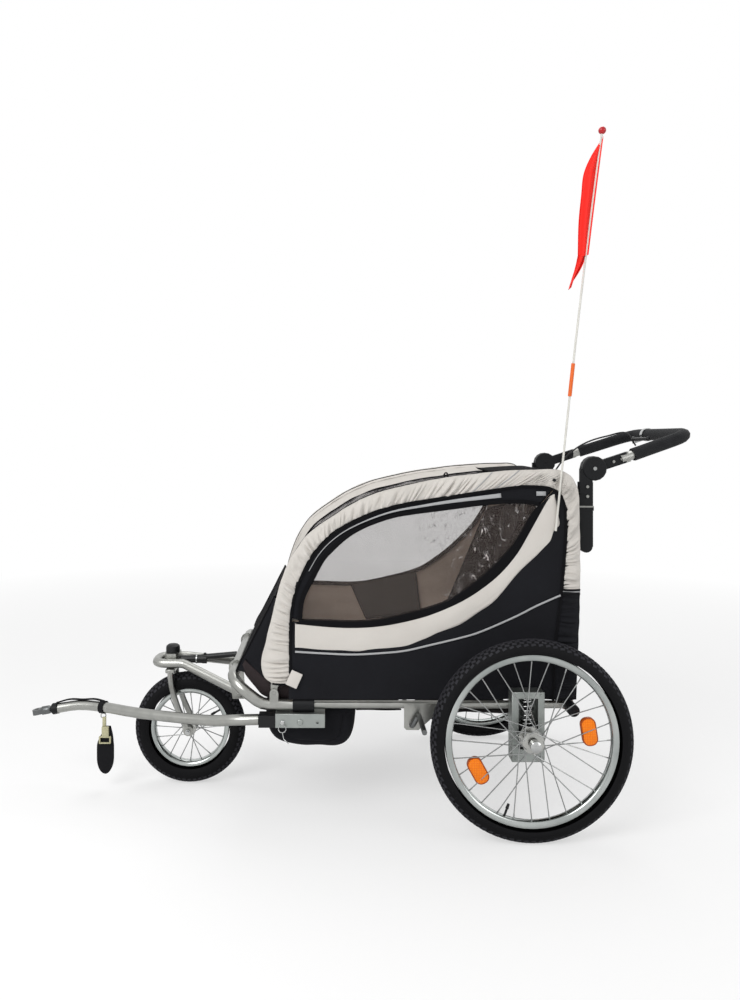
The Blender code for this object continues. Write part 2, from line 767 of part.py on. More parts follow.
def carrier(side, label):
    """The sliding block with its stub axle and the rod that runs up into the damper."""
    wide = HOUSING_LENGTH / 2 - HOUSING_WALL - GAP
    ys = sorted((side * (HOUSING_IN + HOUSING_WALL + GAP), side * (HOUSING_OUT - HOUSING_WALL - GAP)))
    low = AXLE_Z - CARRIER_HALF_HEIGHT
    body = box(label + "_axle_carrier", (AXLE_X - wide, ys[0], low), (AXLE_X + wide, ys[1], BLOCK_TOP),
               "black_plastic", bevel=0.002)
    hub_face = side * (TRACK_HALF - REAR_HUB_HALF - GAP)
    boss = cylinder("boss", (AXLE_X, side * (HOUSING_OUT - HOUSING_WALL - 0.004), AXLE_Z),
                    (AXLE_X, hub_face, AXLE_Z), CARRIER_BOSS_RADIUS, "black_plastic", sides=20)
    end = side * (TRACK_HALF + REAR_HUB_HALF + 0.016)
    axle = cylinder("axle", (AXLE_X, side * (HOUSING_OUT - 0.008), AXLE_Z), (AXLE_X, end, AXLE_Z),
                    AXLE_RADIUS, "chrome", sides=16)
    rod = cylinder("rod", (AXLE_X, side * COIL_MID_Y, BLOCK_TOP - 0.004),
                   (AXLE_X, side * COIL_MID_Y, DAMPER_BOTTOM + DAMPER_ROD_GRIP), DAMPER_ROD_RADIUS,
                   "chrome", sides=10)
    fuse(body, boss, axle, rod)
    return body


def axle_cap(side, label):
    """The round silver push button over the axle's end."""
    face = TRACK_HALF + REAR_HUB_HALF + GAP
    end = REAR_HUB_HALF + 0.016 + TRACK_HALF
    shell = BUTTON_RADIUS + 0.007
    wall = bore(AXLE_RADIUS, 20, 0.0004)
    depth = end - face + BUTTON_TRAVEL + 0.006
    profile = [(0.0, depth), (shell * 0.62, depth - 0.0006), (shell, depth - 0.004), (shell, BUTTON_TRAVEL + GAP),
               (wall, BUTTON_TRAVEL + GAP), (wall, depth - 0.0055), (0.0, depth - 0.0055)]
    return turned(label + "_axle_button", profile, "chrome", (AXLE_X, side * face, AXLE_Z),
                  (0, side, 0), 20)


def coil(side, label):
    """An open coil with closed ends, as one unbroken tube."""
    low = BLOCK_TOP + GAP + COIL_WIRE
    high = COIL_TOP - GAP - COIL_WIRE
    close = 3.2 * COIL_WIRE * 0.5 + COIL_WIRE * 0.9
    count = COIL_TURNS * COIL_POINTS
    path = []
    for i in range(count + 1):
        turn = i / COIL_POINTS
        inner = min(max(turn - 1, 0), COIL_TURNS - 2) / (COIL_TURNS - 2)
        ends = min(turn, 1) + max(turn - (COIL_TURNS - 1), 0)
        rise = close * ends + (high - low - 2 * close) * inner
        angle = math.tau * turn
        path.append(Vector((AXLE_X + COIL_RADIUS * math.cos(angle),
                            side * COIL_MID_Y + COIL_RADIUS * math.sin(angle), low + rise)))
    print(label, "coil's least gap to itself, mm:", round(1000 * least_gap(path, COIL_WIRE), 2))
    return tube(label + "_coil_spring", path, COIL_WIRE, "chrome", resolution=1)


def least_gap(path, radius):
    """The least free distance between two stretches of a tube that are half a turn or more apart."""
    least = 1.0
    apart = COIL_POINTS // 2
    for i, here in enumerate(path):
        for a, b in zip(path[i + apart:], path[i + apart + 1:]):
            share = max(0.0, min(1.0, (here - a).dot(b - a) / (b - a).length_squared))
            least = min(least, (here - a.lerp(b, share)).length)
    return least - 2 * radius


def damper(side, label):
    top = COIL_TOP - GAP
    hole = bore(DAMPER_ROD_RADIUS, 12, 0.0004)
    profile = [(0.0, top), (DAMPER_RADIUS + 0.001, top), (DAMPER_RADIUS + 0.001, top - 0.003),
               (DAMPER_RADIUS, top - 0.004), (DAMPER_RADIUS, DAMPER_BOTTOM + 0.001),
               (DAMPER_RADIUS - 0.001, DAMPER_BOTTOM), (hole, DAMPER_BOTTOM),
               (hole, top - 0.006), (0.0, top - 0.006)]
    return turned(label + "_damper", profile, "black_plastic", (AXLE_X, side * COIL_MID_Y, 0),
                  (0, 0, 1), 12)


# Main frame


def bumper_path():
    corner = (BUMPER_FRONT_X, RAIL_Y, BUMPER_FRONT_Z)
    near = [Vector((RAIL_FRONT_X - GAP, -RAIL_Y, RAIL_Z)), Vector((BUMPER_BEND_X, -RAIL_Y, RAIL_Z)),
            Vector((corner[0] + 0.012, -RAIL_Y, BUMPER_FRONT_Z)), ]
    rise = fillet([near[0], near[1], Vector((BUMPER_FRONT_X, -RAIL_Y, BUMPER_FRONT_Z)),
                   Vector((BUMPER_FRONT_X, 0, BUMPER_FRONT_Z))], BUMPER_CORNER)
    half = rise[:-1]
    return half + [Vector((p.x, -p.y, p.z)) for p in reversed(half)]


def bumper():
    """The front tube with its two black sleeves that take the rails."""
    body = meshed(tube("front_bumper", bumper_path(), BUMPER_RADIUS, "satin_tube"))
    hole = bore(RAIL_RADIUS, 14, GAP)
    for side in (-1, 1):
        profile = [(SLEEVE_RADIUS, SLEEVE_REAR), (SLEEVE_RADIUS, -SLEEVE_FRONT),
                   (BUMPER_RADIUS * 0.8, -SLEEVE_FRONT), (BUMPER_RADIUS * 0.8, -0.004), (hole, -0.004),
                   (hole, SLEEVE_REAR)]
        sleeve = turned("sleeve", profile, "black_plastic", (SLEEVE_X, side * RAIL_Y, RAIL_Z),
                        (1, 0, 0), 14, ring=True, phase=9.0)
        fuse(body, sleeve)
    return body


def rail(side, label):
    """A rail with the riveted plate that carries the brake bar."""
    end = REAR_BAR_X - REAR_BAR_RADIUS - GAP
    body = cylinder(label + "_rail", (RAIL_FRONT_X + 0.001, side * RAIL_Y, RAIL_Z),
                    (end, side * RAIL_Y, RAIL_Z), RAIL_RADIUS, "satin_tube", sides=16)
    face = side * (RAIL_Y + RAIL_RADIUS)
    low = BRAKE_PIVOT_Z - BRAKE_ROD_RADIUS - 0.006
    top = RAIL_Z + RAIL_RADIUS * 0.6
    outline = [(BRAKE_PLATE_FRONT, top), (BRAKE_PLATE_FRONT, low + 0.006), (BRAKE_PLATE_FRONT + 0.006, low),
               (BRAKE_PIVOT_X + 0.018, low), (BRAKE_PLATE_REAR, RAIL_Z - RAIL_RADIUS - 0.012),
               (BRAKE_PLATE_REAR, top)]
    plate = meshed(flat("brake_plate", [outline], BRAKE_PLATE_THICK, "grey_steel",
                        side_view(face + side * (BRAKE_PLATE_THICK / 2 - 0.001))))
    fuse(body, plate)
    for x in (BRAKE_PIVOT_X - 0.006, BRAKE_PLATE_REAR - 0.014):
        fuse(body, cylinder("rivet", (x, face, RAIL_Z), (x, face + side * (BRAKE_PLATE_THICK + 0.0015), RAIL_Z),
                            0.0035, "grey_steel", sides=8))
    hole = cylinder("brake_hole", (BRAKE_PIVOT_X, face - side * 0.01, BRAKE_PIVOT_Z),
                    (BRAKE_PIVOT_X, face + side * 0.01, BRAKE_PIVOT_Z),
                    bore(BRAKE_ROD_RADIUS, 16, 0.0004), "grey_steel", sides=16)
    cut(body, hole)
    return body


def rear_bar():
    """The rear cross tube with a black plug in each end."""
    reach = RAIL_Y + RAIL_RADIUS + 0.006
    body = cylinder("rear_crossbar", (REAR_BAR_X, -reach, RAIL_Z), (REAR_BAR_X, reach, RAIL_Z),
                    REAR_BAR_RADIUS, "satin_tube", sides=16)
    for side in (-1, 1):
        length = REAR_PLUG_END - reach + 0.004
        profile = [(0.0, length), (REAR_PLUG_RADIUS - 0.003, length), (REAR_PLUG_RADIUS, length - 0.003),
                   (REAR_PLUG_RADIUS, 0.0), (0.0, 0.0)]
        fuse(body, turned("plug", profile, "black_plastic",
                          (REAR_BAR_X, side * (reach - 0.004), RAIL_Z), (0, side, 0), 16))
    return body


def axle_bar():
    end = HOUSING_IN - GAP
    return cylinder("axle_crossbar", (AXLE_X, -end, AXLE_BAR_Z), (AXLE_X, end, AXLE_BAR_Z),
                    AXLE_BAR_RADIUS, "satin_tube", sides=14)


def arch_line(steps=3):
    return smooth_line([ARCH_FOOT, *ARCH_LINE, ARCH_END], steps)


def circle(u, v, radius, sides, first=0.0, angle=math.tau):
    return [(u + radius * math.cos(first + angle * i / sides), v + radius * math.sin(first + angle * i / sides))
            for i in range(sides if angle == math.tau else sides + 1)]


def arch(side, label):
    """A side arch with a tongue and a cross pin at its foot."""
    line = arch_line(2)
    foot = line[0]
    first = foot + (line[1] - foot).normalized() * ARCH_START
    path = [first, *[p for p in line if (p - foot).length > 2 * ARCH_START]]
    path = [Vector((p.x, side * RAIL_Y, p.y)) for p in path]
    body = meshed(tube(label + "_arch", path, ARCH_RADIUS, "satin_tube", resolution=2))
    outline = [(foot.x + 0.0085, foot.y + ARCH_START + 0.006), (foot.x - 0.0085, foot.y + ARCH_START + 0.006),
               *circle(foot.x, foot.y, 0.0085, 6, math.pi, math.pi)]
    tongue = meshed(flat("tongue", [outline], 2 * ARCH_TONGUE_HALF, "grey_steel", side_view(side * RAIL_Y)))
    reach = ARCH_EAR_OUT + 0.0001
    pin = cylinder("pin", (foot.x, side * RAIL_Y - reach, foot.y), (foot.x, side * RAIL_Y + reach, foot.y),
                   ARCH_PIN_RADIUS, "grey_steel", sides=8)
    return fuse(body, tongue, pin)


def arch_ears(bumper_made):
    """The two pairs of ears on the front tube that hold the arches' pins."""
    x, z = ARCH_FOOT
    hole = bore(ARCH_PIN_RADIUS, 8)
    outline = [*circle(x, z, ARCH_EAR_RADIUS, 6, 0.0, math.pi),
               (x - ARCH_EAR_RADIUS, RAIL_Z + 0.006), (x + ARCH_EAR_RADIUS, RAIL_Z + 0.006)]
    inner = ARCH_TONGUE_HALF + GAP
    for side in (-1, 1):
        for turn in (-1, 1):
            y = side * RAIL_Y + turn * (inner + ARCH_EAR_OUT) / 2
            ear = flat("ear", [outline, circle(x, z, hole, 8)], ARCH_EAR_OUT - inner, "grey_steel", side_view(y))
            fuse(bumper_made, meshed(ear))


# Rear upright and push handle


def upright():
    """One tube bent into a U, with an eye round the rear cross tube at each foot."""
    foot = RAIL_Z + REAR_BAR_RADIUS + 0.0016
    path = fillet([(REAR_BAR_X, -POST_Y, foot), (REAR_BAR_X, -POST_Y, POST_TOP_Z),
                   (REAR_BAR_X, POST_Y, POST_TOP_Z), (REAR_BAR_X, POST_Y, foot)], POST_BEND)
    body = meshed(tube("rear_upright", path, POST_RADIUS, "satin_tube"))
    hole = bore(REAR_BAR_RADIUS, 16, GAP)
    for side in (-1, 1):
        eye = turned("eye", [(POST_EYE_RADIUS, POST_EYE_HALF), (POST_EYE_RADIUS, -POST_EYE_HALF),
                             (hole, -POST_EYE_HALF), (hole, POST_EYE_HALF)], "black_plastic",
                     (REAR_BAR_X, side * POST_Y, RAIL_Z), (0, 1, 0), 16, ring=True)
        fuse(body, eye)
    return body


def handle_hinge(side, label):
    """The strut clamped to the post, with the fixed half of the hinge disc and its pin."""
    ys = sorted((side * (POST_Y - STRUT_THICK / 2 - 0.002), side * (POST_Y + STRUT_THICK / 2 - 0.002)))
    front = STRUT_X - STRUT_WIDTH / 2
    rear = STRUT_X + STRUT_WIDTH / 2
    middle = (ys[0] + ys[1]) / 2
    outline = [(rear, STRUT_TOP_Z), (front, STRUT_TOP_Z), (front, STRUT_BOTTOM_Z + 0.012),
               *circle(STRUT_X, STRUT_BOTTOM_Z + 0.013, STRUT_WIDTH / 2 - 0.001, 8, math.pi, math.pi),
               (rear, STRUT_BOTTOM_Z + 0.012)]
    body = meshed(flat(label + "_handle_hinge", [outline], STRUT_THICK, "black_plastic", side_view(middle)))
    face = DISC_MID_Y + GAP / 2
    cheek = side * (face + (POST_Y + STRUT_THICK / 2 - 0.002 - face) / 2)
    neck = [(rear - 0.001, HANDLE_Z), (front + 0.001, HANDLE_Z), (front + 0.001, STRUT_TOP_Z - 0.01),
            (rear - 0.001, STRUT_TOP_Z - 0.01)]
    thick = POST_Y + STRUT_THICK / 2 - 0.002 - face
    fuse(body, meshed(flat("neck", [neck], thick, "black_plastic", side_view(cheek))))
    profile = [(0.0, DISC_OUTER_THICK), (DISC_RADIUS - 0.003, DISC_OUTER_THICK),
               (DISC_RADIUS, DISC_OUTER_THICK - 0.003), (DISC_RADIUS, 0.0), (0.0, 0.0)]
    disc = turned("disc", profile, "black_plastic", (HANDLE_X, side * face, HANDLE_Z), (0, side, 0), 16)
    pin = cylinder("pin", (HANDLE_X, side * (face + 0.004), HANDLE_Z),
                   (HANDLE_X, side * (DISC_MID_Y - DISC_INNER_THICK), HANDLE_Z), HANDLE_PIN_RADIUS,
                   "black_plastic", sides=10)
    fuse(body, disc, pin)
    collar = box("collar", (front - 0.0015, ys[0] - 0.0015, STRUT_COLLAR_Z - 0.006),
                 (rear + 0.0015, ys[1] + 0.0015, STRUT_COLLAR_Z + 0.006), "chrome")
    fuse(body, collar)
    for z in (CLAMP_LOW_Z, CLAMP_HIGH_Z):
        ring = circle(REAR_BAR_X, side * POST_Y, POST_RADIUS + CLAMP_WALL, 6, math.pi / 2, math.pi)
        half = POST_RADIUS + CLAMP_WALL
        band = [*ring, (front + 0.006, side * POST_Y - half), (front + 0.006, side * POST_Y + half)]
        clamp = meshed(flat("clamp", [band], 2 * CLAMP_HALF, "black_plastic", Matrix.Translation((0, 0, z))))
        hole = cylinder("clamp_hole", (REAR_BAR_X, side * POST_Y, z - 0.02), (REAR_BAR_X, side * POST_Y, z + 0.02),
                        bore(POST_RADIUS, 12, GAP), "black_plastic", sides=12)
        fuse(body, clamp)
        cut(body, hole)
    for z in STRUT_BOLTS:
        fuse(body, cylinder("bolt", (STRUT_X + 0.002, side * (POST_Y + 0.006), z),
                            (STRUT_X + 0.002, side * (POST_Y + STRUT_THICK / 2 + 0.0015), z), 0.0042,
                            "chrome", sides=6))
    return body


def bar_path(side_y, start_x):
    """The handle bar's path from this X on one side round to the other."""
    slope = (BAR_END_Z - BAR_START_Z) / (BAR_END_X - BAR_START_X)
    share = (start_x - BAR_START_X) / (BAR_END_X - BAR_START_X)
    start_y = side_y + (BAR_NARROW_Y - side_y) * share
    start = (start_x, -start_y, BAR_START_Z + slope * (start_x - BAR_START_X))
    return fillet([start, (BAR_END_X, -BAR_NARROW_Y, BAR_END_Z), (BAR_END_X, BAR_NARROW_Y, BAR_END_Z),
                   (start[0], -start[1], start[2])], BAR_CORNER)


def handle_bar():
    """The bent tube with its two arms and the turning half of each hinge disc."""
    middle = DISC_MID_Y - DISC_INNER_THICK / 2
    body = meshed(tube("handle_bar", bar_path(middle, BAR_START_X), BAR_RADIUS, "satin_tube"))
    slope = Vector((BAR_START_X - HANDLE_X, BAR_START_Z - HANDLE_Z)).normalized()
    up = Vector((-slope.y, slope.x)) * ARM_HEIGHT / 2
    centre = Vector((HANDLE_X, HANDLE_Z))
    end = centre + slope * ((ARM_END_X - HANDLE_X) / slope.x)
    start = centre + slope * 0.012
    for side in (-1, 1):
        y = side * (middle - GAP / 2)
        outline = [tuple(start - up), tuple(end - up), tuple(end + up), tuple(start + up)]
        arm = meshed(flat("arm", [outline], DISC_INNER_THICK - 2 * GAP, "black_plastic", side_view(y)))
        fuse(body, arm)
        profile = [(0.0, DISC_INNER_THICK + 0.0002), (DISC_RADIUS - 0.002, DISC_INNER_THICK + 0.0002),
                   (DISC_RADIUS, DISC_INNER_THICK - 0.002), (DISC_RADIUS, GAP), (0.0, GAP)]
        disc = turned("disc", profile, "black_plastic", (HANDLE_X, side * DISC_MID_Y, HANDLE_Z),
                      (0, -side, 0), 16)
        fuse(body, disc)
        cut(body, cylinder("pin_hole", (HANDLE_X, side * 0.20, HANDLE_Z), (HANDLE_X, side * 0.26, HANDLE_Z),
                           bore(HANDLE_PIN_RADIUS, 10), "black_plastic", sides=10))
        for far in HANDLE_BOLTS:
            place = centre + slope * far
            fuse(body, cylinder("bolt", (place.x, side * (middle + 0.004), place.y),
                                (place.x, side * (DISC_MID_Y + 0.0022), place.y), 0.0040, "chrome", sides=6))
    return body


def grip():
    middle = DISC_MID_Y - DISC_INNER_THICK / 2
    body = meshed(tube("handle_grip", bar_path(middle, GRIP_START_X), GRIP_RADIUS, "black_foam"))
    inside = meshed(tube("grip_bore", bar_path(middle, GRIP_START_X - 0.01), BAR_RADIUS + 2 * GAP, "black_foam"))
    return cut(body, inside)


def lever_frame():
    """The lever's own frame: its pivot on the bar's far half, its Z square to the handle's plane."""
    slope = Vector((BAR_END_X - BAR_START_X, 0, BAR_END_Z - BAR_START_Z)).normalized()
    up = Vector((-slope.z, 0, slope.x))
    bar = Vector((BAR_END_X, LEVER_Y, BAR_END_Z))
    turn = Matrix((slope, Vector((0, 1, 0)), up)).transposed().to_4x4()
    return bar, Matrix.Translation(bar - slope * LEVER_AHEAD) @ turn


def lever_clamp():
    bar, frame = lever_frame()
    hole = bore(GRIP_RADIUS, 16, GAP)
    ring = turned("brake_lever_clamp", [(hole + 0.0022, LEVER_CLAMP_HALF), (hole + 0.0022, -LEVER_CLAMP_HALF),
                                        (hole, -LEVER_CLAMP_HALF), (hole, LEVER_CLAMP_HALF)], "chrome",
                  bar, (0, 1, 0), 16, ring=True)
    outline = [(0.0, -0.008), (LEVER_AHEAD - GRIP_RADIUS - 0.0015, -0.008),
               (LEVER_AHEAD - GRIP_RADIUS - 0.0015, 0.008), *circle(0, 0, 0.008, 6, math.pi / 2, math.pi)[:-1]]
    lug = meshed(flat("lug", [outline], 0.007, "chrome", frame @ Matrix.Translation((0, 0, -0.0085))))
    pin = cylinder("pin", frame @ Vector((0, 0, -0.006)), frame @ Vector((0, 0, 0.0075)), 0.003, "chrome", sides=12)
    return fuse(ring, lug, pin)


def lever():
    """A flat tapered lever that runs beside the bar, with a ball at its tip."""
    bar, frame = lever_frame()
    hole = bore(0.003, 12)
    outline = [(-0.006, -0.006), (0.001, -LEVER_LENGTH), (0.009, -LEVER_LENGTH), (0.007, -0.006),
               *circle(0, 0, 0.008, 8, -0.6, math.pi + 1.0)]
    body = meshed(flat("brake_lever", [outline, circle(0, 0, hole, 12)], 0.008, "black_plastic",
                       frame @ Matrix.Translation((0, 0, -0.0005))))
    ball = bmesh.new()
    bmesh.ops.create_uvsphere(ball, u_segments=8, v_segments=6, radius=0.0068)
    bmesh.ops.transform(ball, matrix=frame @ Matrix.Translation((0.005, -LEVER_LENGTH, -0.0005)), verts=ball.verts)
    return fuse(body, from_bmesh("lever_ball", ball, "black_plastic"))


def cable():
    bar, frame = lever_frame()
    start = frame @ Vector((-0.012, 0.012, -0.016))
    post_y = POST_Y - POST_RADIUS - CABLE_RADIUS - 0.0053
    points = [start, (0.850, 0.135, 1.010), (0.806, 0.178, 1.000), (0.760, 0.196, 0.985), (0.719, 0.205, 0.962),
              (0.680, 0.214, 0.925), (0.640, post_y - 0.001, 0.868), (0.600, post_y, 0.835), (0.560, post_y, 0.800),
              (0.528, post_y, 0.740), (0.522, post_y, 0.600), (0.522, post_y, 0.420), (0.515, post_y + 0.004, 0.350),
              (0.485, 0.242, 0.308), (0.400, 0.246, 0.303), (0.300, 0.246, 0.303), (0.200, 0.246, 0.300),
              (BRAKE_PIVOT_X, 0.246, BRAKE_PIVOT_Z + BRAKE_ROD_RADIUS + CABLE_RADIUS + 0.001)]
    return tube("brake_cable", [Vector(p) for p in points], CABLE_RADIUS, "black_plastic", resolution=1)


def brake_bar():
    """One bent rod: through the plates under the rails, with a crank and a stub before each tyre."""
    half = [(BRAKE_STUB_X, -BRAKE_REACH_Y, BRAKE_STUB_Z), (BRAKE_STUB_X, -BRAKE_CRANK_Y, BRAKE_STUB_Z),
            (BRAKE_PIVOT_X, -BRAKE_CRANK_Y, BRAKE_PIVOT_Z)]
    path = fillet([*half, *[(x, -y, z) for x, y, z in reversed(half)]], BRAKE_BEND, 30)
    return tube("brake_bar", path, BRAKE_ROD_RADIUS, "black_paint", resolution=3)


# Front wheel carrier


def fork():
    """Crown, steerer, two blades that trail and their dropouts."""
    top = HEAD_BOTTOM_Z - GAP
    low = top - CROWN_HEIGHT
    body = box("front_fork", (HEAD_X - 0.013, -CROWN_HALF_WIDTH - 0.006, low),
               (HEAD_X + 0.013, CROWN_HALF_WIDTH + 0.006, top), "grey_steel", bevel=0.002)
    steerer = cylinder("steerer", (HEAD_X, 0, low + 0.002), (HEAD_X, 0, HEAD_TOP_Z + 0.010), STEERER_RADIUS,
                       "chrome", sides=16)
    fuse(body, steerer)
    for side in (-1, 1):
        y = side * BLADE_Y
        path = smooth_line([(HEAD_X, y, low + 0.004), (HEAD_X + 0.004, y, 0.285), (HEAD_X + 0.022, y, 0.225),
                            (FRONT_HUB_X - 0.004, y, FRONT_HUB_Z + 0.012)], 2)
        blade = meshed(tube("blade", path, BLADE_RADIUS, "satin_tube", resolution=2))
        drop = cylinder("dropout", (FRONT_HUB_X, y - DROPOUT_THICK / 2, FRONT_HUB_Z),
                        (FRONT_HUB_X, y + DROPOUT_THICK / 2, FRONT_HUB_Z), 0.0135, "satin_tube", sides=14)
        hole = cylinder("dropout_hole", (FRONT_HUB_X, y - 0.02, FRONT_HUB_Z), (FRONT_HUB_X, y + 0.02, FRONT_HUB_Z),
                        bore(FRONT_AXLE_RADIUS, 12), "satin_tube", sides=12)
        for turn in (-1, 1):
            near, far = sorted((y + turn * (DROPOUT_THICK / 2 - 0.0006), y + turn * 0.02))
            cut(blade, box("blade_flat", (FRONT_HUB_X - 0.03, near, FRONT_HUB_Z - 0.03),
                           (FRONT_HUB_X + 0.03, far, FRONT_HUB_Z + 0.015), "satin_tube"))
        fuse(body, blade, drop)
        cut(body, hole)
    return body


def front_axle():
    """The axle with its spacers and nuts, turned as one."""
    flat_in = BLADE_Y - DROPOUT_THICK / 2 - GAP
    flat_out = BLADE_Y + DROPOUT_THICK / 2 + GAP
    end = flat_out + 0.013
    spacer = FRONT_HUB_HALF + GAP
    half = [(FRONT_AXLE_RADIUS, end), (FRONT_AXLE_RADIUS, flat_out + 0.007), (0.0075, flat_out + 0.007),
            (0.0075, flat_out), (FRONT_AXLE_RADIUS, flat_out), (FRONT_AXLE_RADIUS, flat_in), (0.0075, flat_in),
            (0.0075, spacer), (FRONT_AXLE_RADIUS, spacer)]
    profile = [(0.0, end), *half, *[(r, -z) for r, z in reversed(half)], (0.0, -end)]
    return turned("front_axle", profile, "chrome", (FRONT_HUB_X, 0, FRONT_HUB_Z), (0, 1, 0), 10)


def swivel_head():
    """The block between the arm's legs, its corners cut back from the bend."""
    width = ARM_NECK_Y - ARM_TUBE_RADIUS - GAP
    long = HEAD_RADIUS
    outline = [(long, width - HEAD_CHAMFER), (long - HEAD_CHAMFER, width), (HEAD_CHAMFER - long, width),
               (-long, width - HEAD_CHAMFER)]
    outline += [(u, -v) for u, v in reversed(outline)]
    middle = Matrix.Translation((HEAD_X, 0, (HEAD_BOTTOM_Z + HEAD_TOP_Z) / 2))
    return flat("swivel_head", [outline, circle(0, 0, bore(STEERER_RADIUS, 18), 18)], HEAD_TOP_Z - HEAD_BOTTOM_Z,
                "grey_steel", middle)


def swivel_cap():
    low = HEAD_TOP_Z + GAP
    top = low + CAP_HEIGHT
    hole = bore(STEERER_RADIUS, 18, GAP)
    return turned("swivel_cap", [(0.0, top), (0.014, top - 0.001), (0.0190, top - 0.005), (0.0200, top - 0.010),
                                 (0.0200, low), (hole, low), (hole, low + 0.0105), (0.0, low + 0.0105)],
                  "black_plastic", (HEAD_X, 0, 0), (0, 0, 1), 18)


def front_arm():
    """The tube bent round the head, with the two plates that hold the front tube."""
    half = [(ARM_REAR_X + 0.006, -ARM_REAR_Y, ARM_REAR_Z), (HEAD_X + 0.036, -ARM_NECK_Y, ARM_FRONT_Z),
            (ARM_FRONT_X, -ARM_NECK_Y, ARM_FRONT_Z)]
    path = fillet([half[0]] + half[1:] + [(x, -y, z) for x, y, z in reversed(half)], ARM_BEND)
    body = meshed(tube("front_arm", path, ARM_TUBE_RADIUS, "satin_tube"))
    cx, cz = BUMPER_FRONT_X, BUMPER_FRONT_Z
    outer = BUMPER_RADIUS + ARM_PLATE_RIM
    for side in (-1, 1):
        outline = [*circle(cx, cz, outer, 8, -0.35, math.pi + 0.5), (ARM_REAR_X - 0.022, ARM_REAR_Z - 0.013),
                   (ARM_REAR_X + 0.013, ARM_REAR_Z - 0.013)]
        plate = meshed(flat("plate", [outline], ARM_PLATE_THICK, "satin_tube", side_view(side * ARM_REAR_Y)))
        fuse(body, plate)
        cut(body, cylinder("bumper_hole", (cx, side * ARM_REAR_Y - 0.03, cz), (cx, side * ARM_REAR_Y + 0.03, cz),
                           bore(BUMPER_RADIUS, 16, GAP), "satin_tube", sides=16))
        fuse(body, cylinder("bolt", (ARM_REAR_X - 0.004, side * (ARM_REAR_Y + 0.002), ARM_REAR_Z),
                            (ARM_REAR_X - 0.004, side * (ARM_REAR_Y + 0.0165), ARM_REAR_Z), 0.006, "chrome", sides=8))
    return body


def front_stay():
    return cylinder("front_stay", (HEAD_X + HEAD_RADIUS + 4 * GAP, 0, STAY_HEAD_Z),
                    (BUMPER_FRONT_X - BUMPER_RADIUS - 0.0012, 0, BUMPER_FRONT_Z - 0.004), STAY_RADIUS,
                    "black_paint", sides=14)


# Tow bar


def tow_bracket():
    """The channel under the left sleeve, with the pivot bolt across it."""
    top = RAIL_Z - SLEEVE_RADIUS - GAP
    inner = TOW_BLOCK_HALF + GAP
    outer = inner + BRACKET_WALL
    body = box("tow_bracket", (BRACKET_FRONT_X, TOW_Y - outer, BRACKET_BOTTOM_Z),
               (BRACKET_REAR_X, TOW_Y + outer, top), "grey_steel", bevel=0.0008)
    cut(body, box("channel", (BRACKET_FRONT_X - 0.01, TOW_Y - inner, BRACKET_BOTTOM_Z - 0.01),
                  (BRACKET_REAR_X + 0.01, TOW_Y + inner, top - BRACKET_WALL), "grey_steel"))
    for x in (TOW_LOCK_X, TOW_SPARE_X):
        cut(body, cylinder("lock_hole", (x, TOW_Y - 0.04, TOW_PIVOT_Z), (x, TOW_Y + 0.04, TOW_PIVOT_Z),
                           bore(RING_PIN_RADIUS, 8), "grey_steel", sides=8))
    bolt = [(0.0, 0.0045), (0.006, 0.0045), (0.0075, 0.003), (0.0075, 0.0), (TOW_PIN_RADIUS, 0.0),
            (TOW_PIN_RADIUS, -2 * outer), (0.0065, -2 * outer), (0.0065, -2 * outer - 0.004),
            (0.0, -2 * outer - 0.004)]
    fuse(body, turned("bolt", bolt, "grey_steel", (TOW_PIVOT_X, TOW_Y - outer + 0.0005, TOW_PIVOT_Z), (0, -1, 0), 12))
    return body


def tow_end():
    """The plastic end block that turns on the bolt."""
    x, z = TOW_PIVOT_X, TOW_PIVOT_Z
    outline = [(TOW_BLOCK_FRONT_X, z + TOW_BLOCK_RISE), (TOW_BLOCK_FRONT_X, z - TOW_BLOCK_RISE),
               *circle(x, z, TOW_BLOCK_RISE, 10, -math.pi / 2, math.pi)]
    hole = circle(x, z, bore(TOW_PIN_RADIUS, 14), 14)
    return flat("tow_bar_end", [outline, hole], 2 * TOW_BLOCK_HALF, "black_plastic", side_view(TOW_Y))


def tow_path():
    start = Vector((TOW_BLOCK_FRONT_X - 4 * GAP, TOW_Y, TOW_PIVOT_Z))
    line = smooth_line([start - Vector((-0.05, 0, 0)), start, *TOW_LINE, TOW_END], 3)
    return [p for p in line if p.x < start.x + 0.0001]


def tow_bar():
    """The bent tube with a black collar where the coupler starts."""
    path = tow_path()
    body = meshed(tube("tow_bar", path, TOW_TUBE_RADIUS, "satin_tube", resolution=4))
    ahead = (path[-1] - path[-2]).normalized()
    profile = [(0.0, 0.006), (TOW_TUBE_RADIUS - 0.001, 0.006), (TOW_TUBE_RADIUS + 0.002, 0.003),
               (TOW_TUBE_RADIUS + 0.002, -0.012), (0.0, -0.012)]
    return fuse(body, turned("collar", profile, "black_plastic", path[-1], ahead, 16))


def coupler_frame():
    """The joint between the bar and the coupler, its X along the bar's end."""
    path = tow_path()
    ahead = (path[-1] - path[-2]).normalized()
    centre = path[-1] + ahead * (0.006 + COUPLER_RADIUS + GAP)
    return centre, ahead


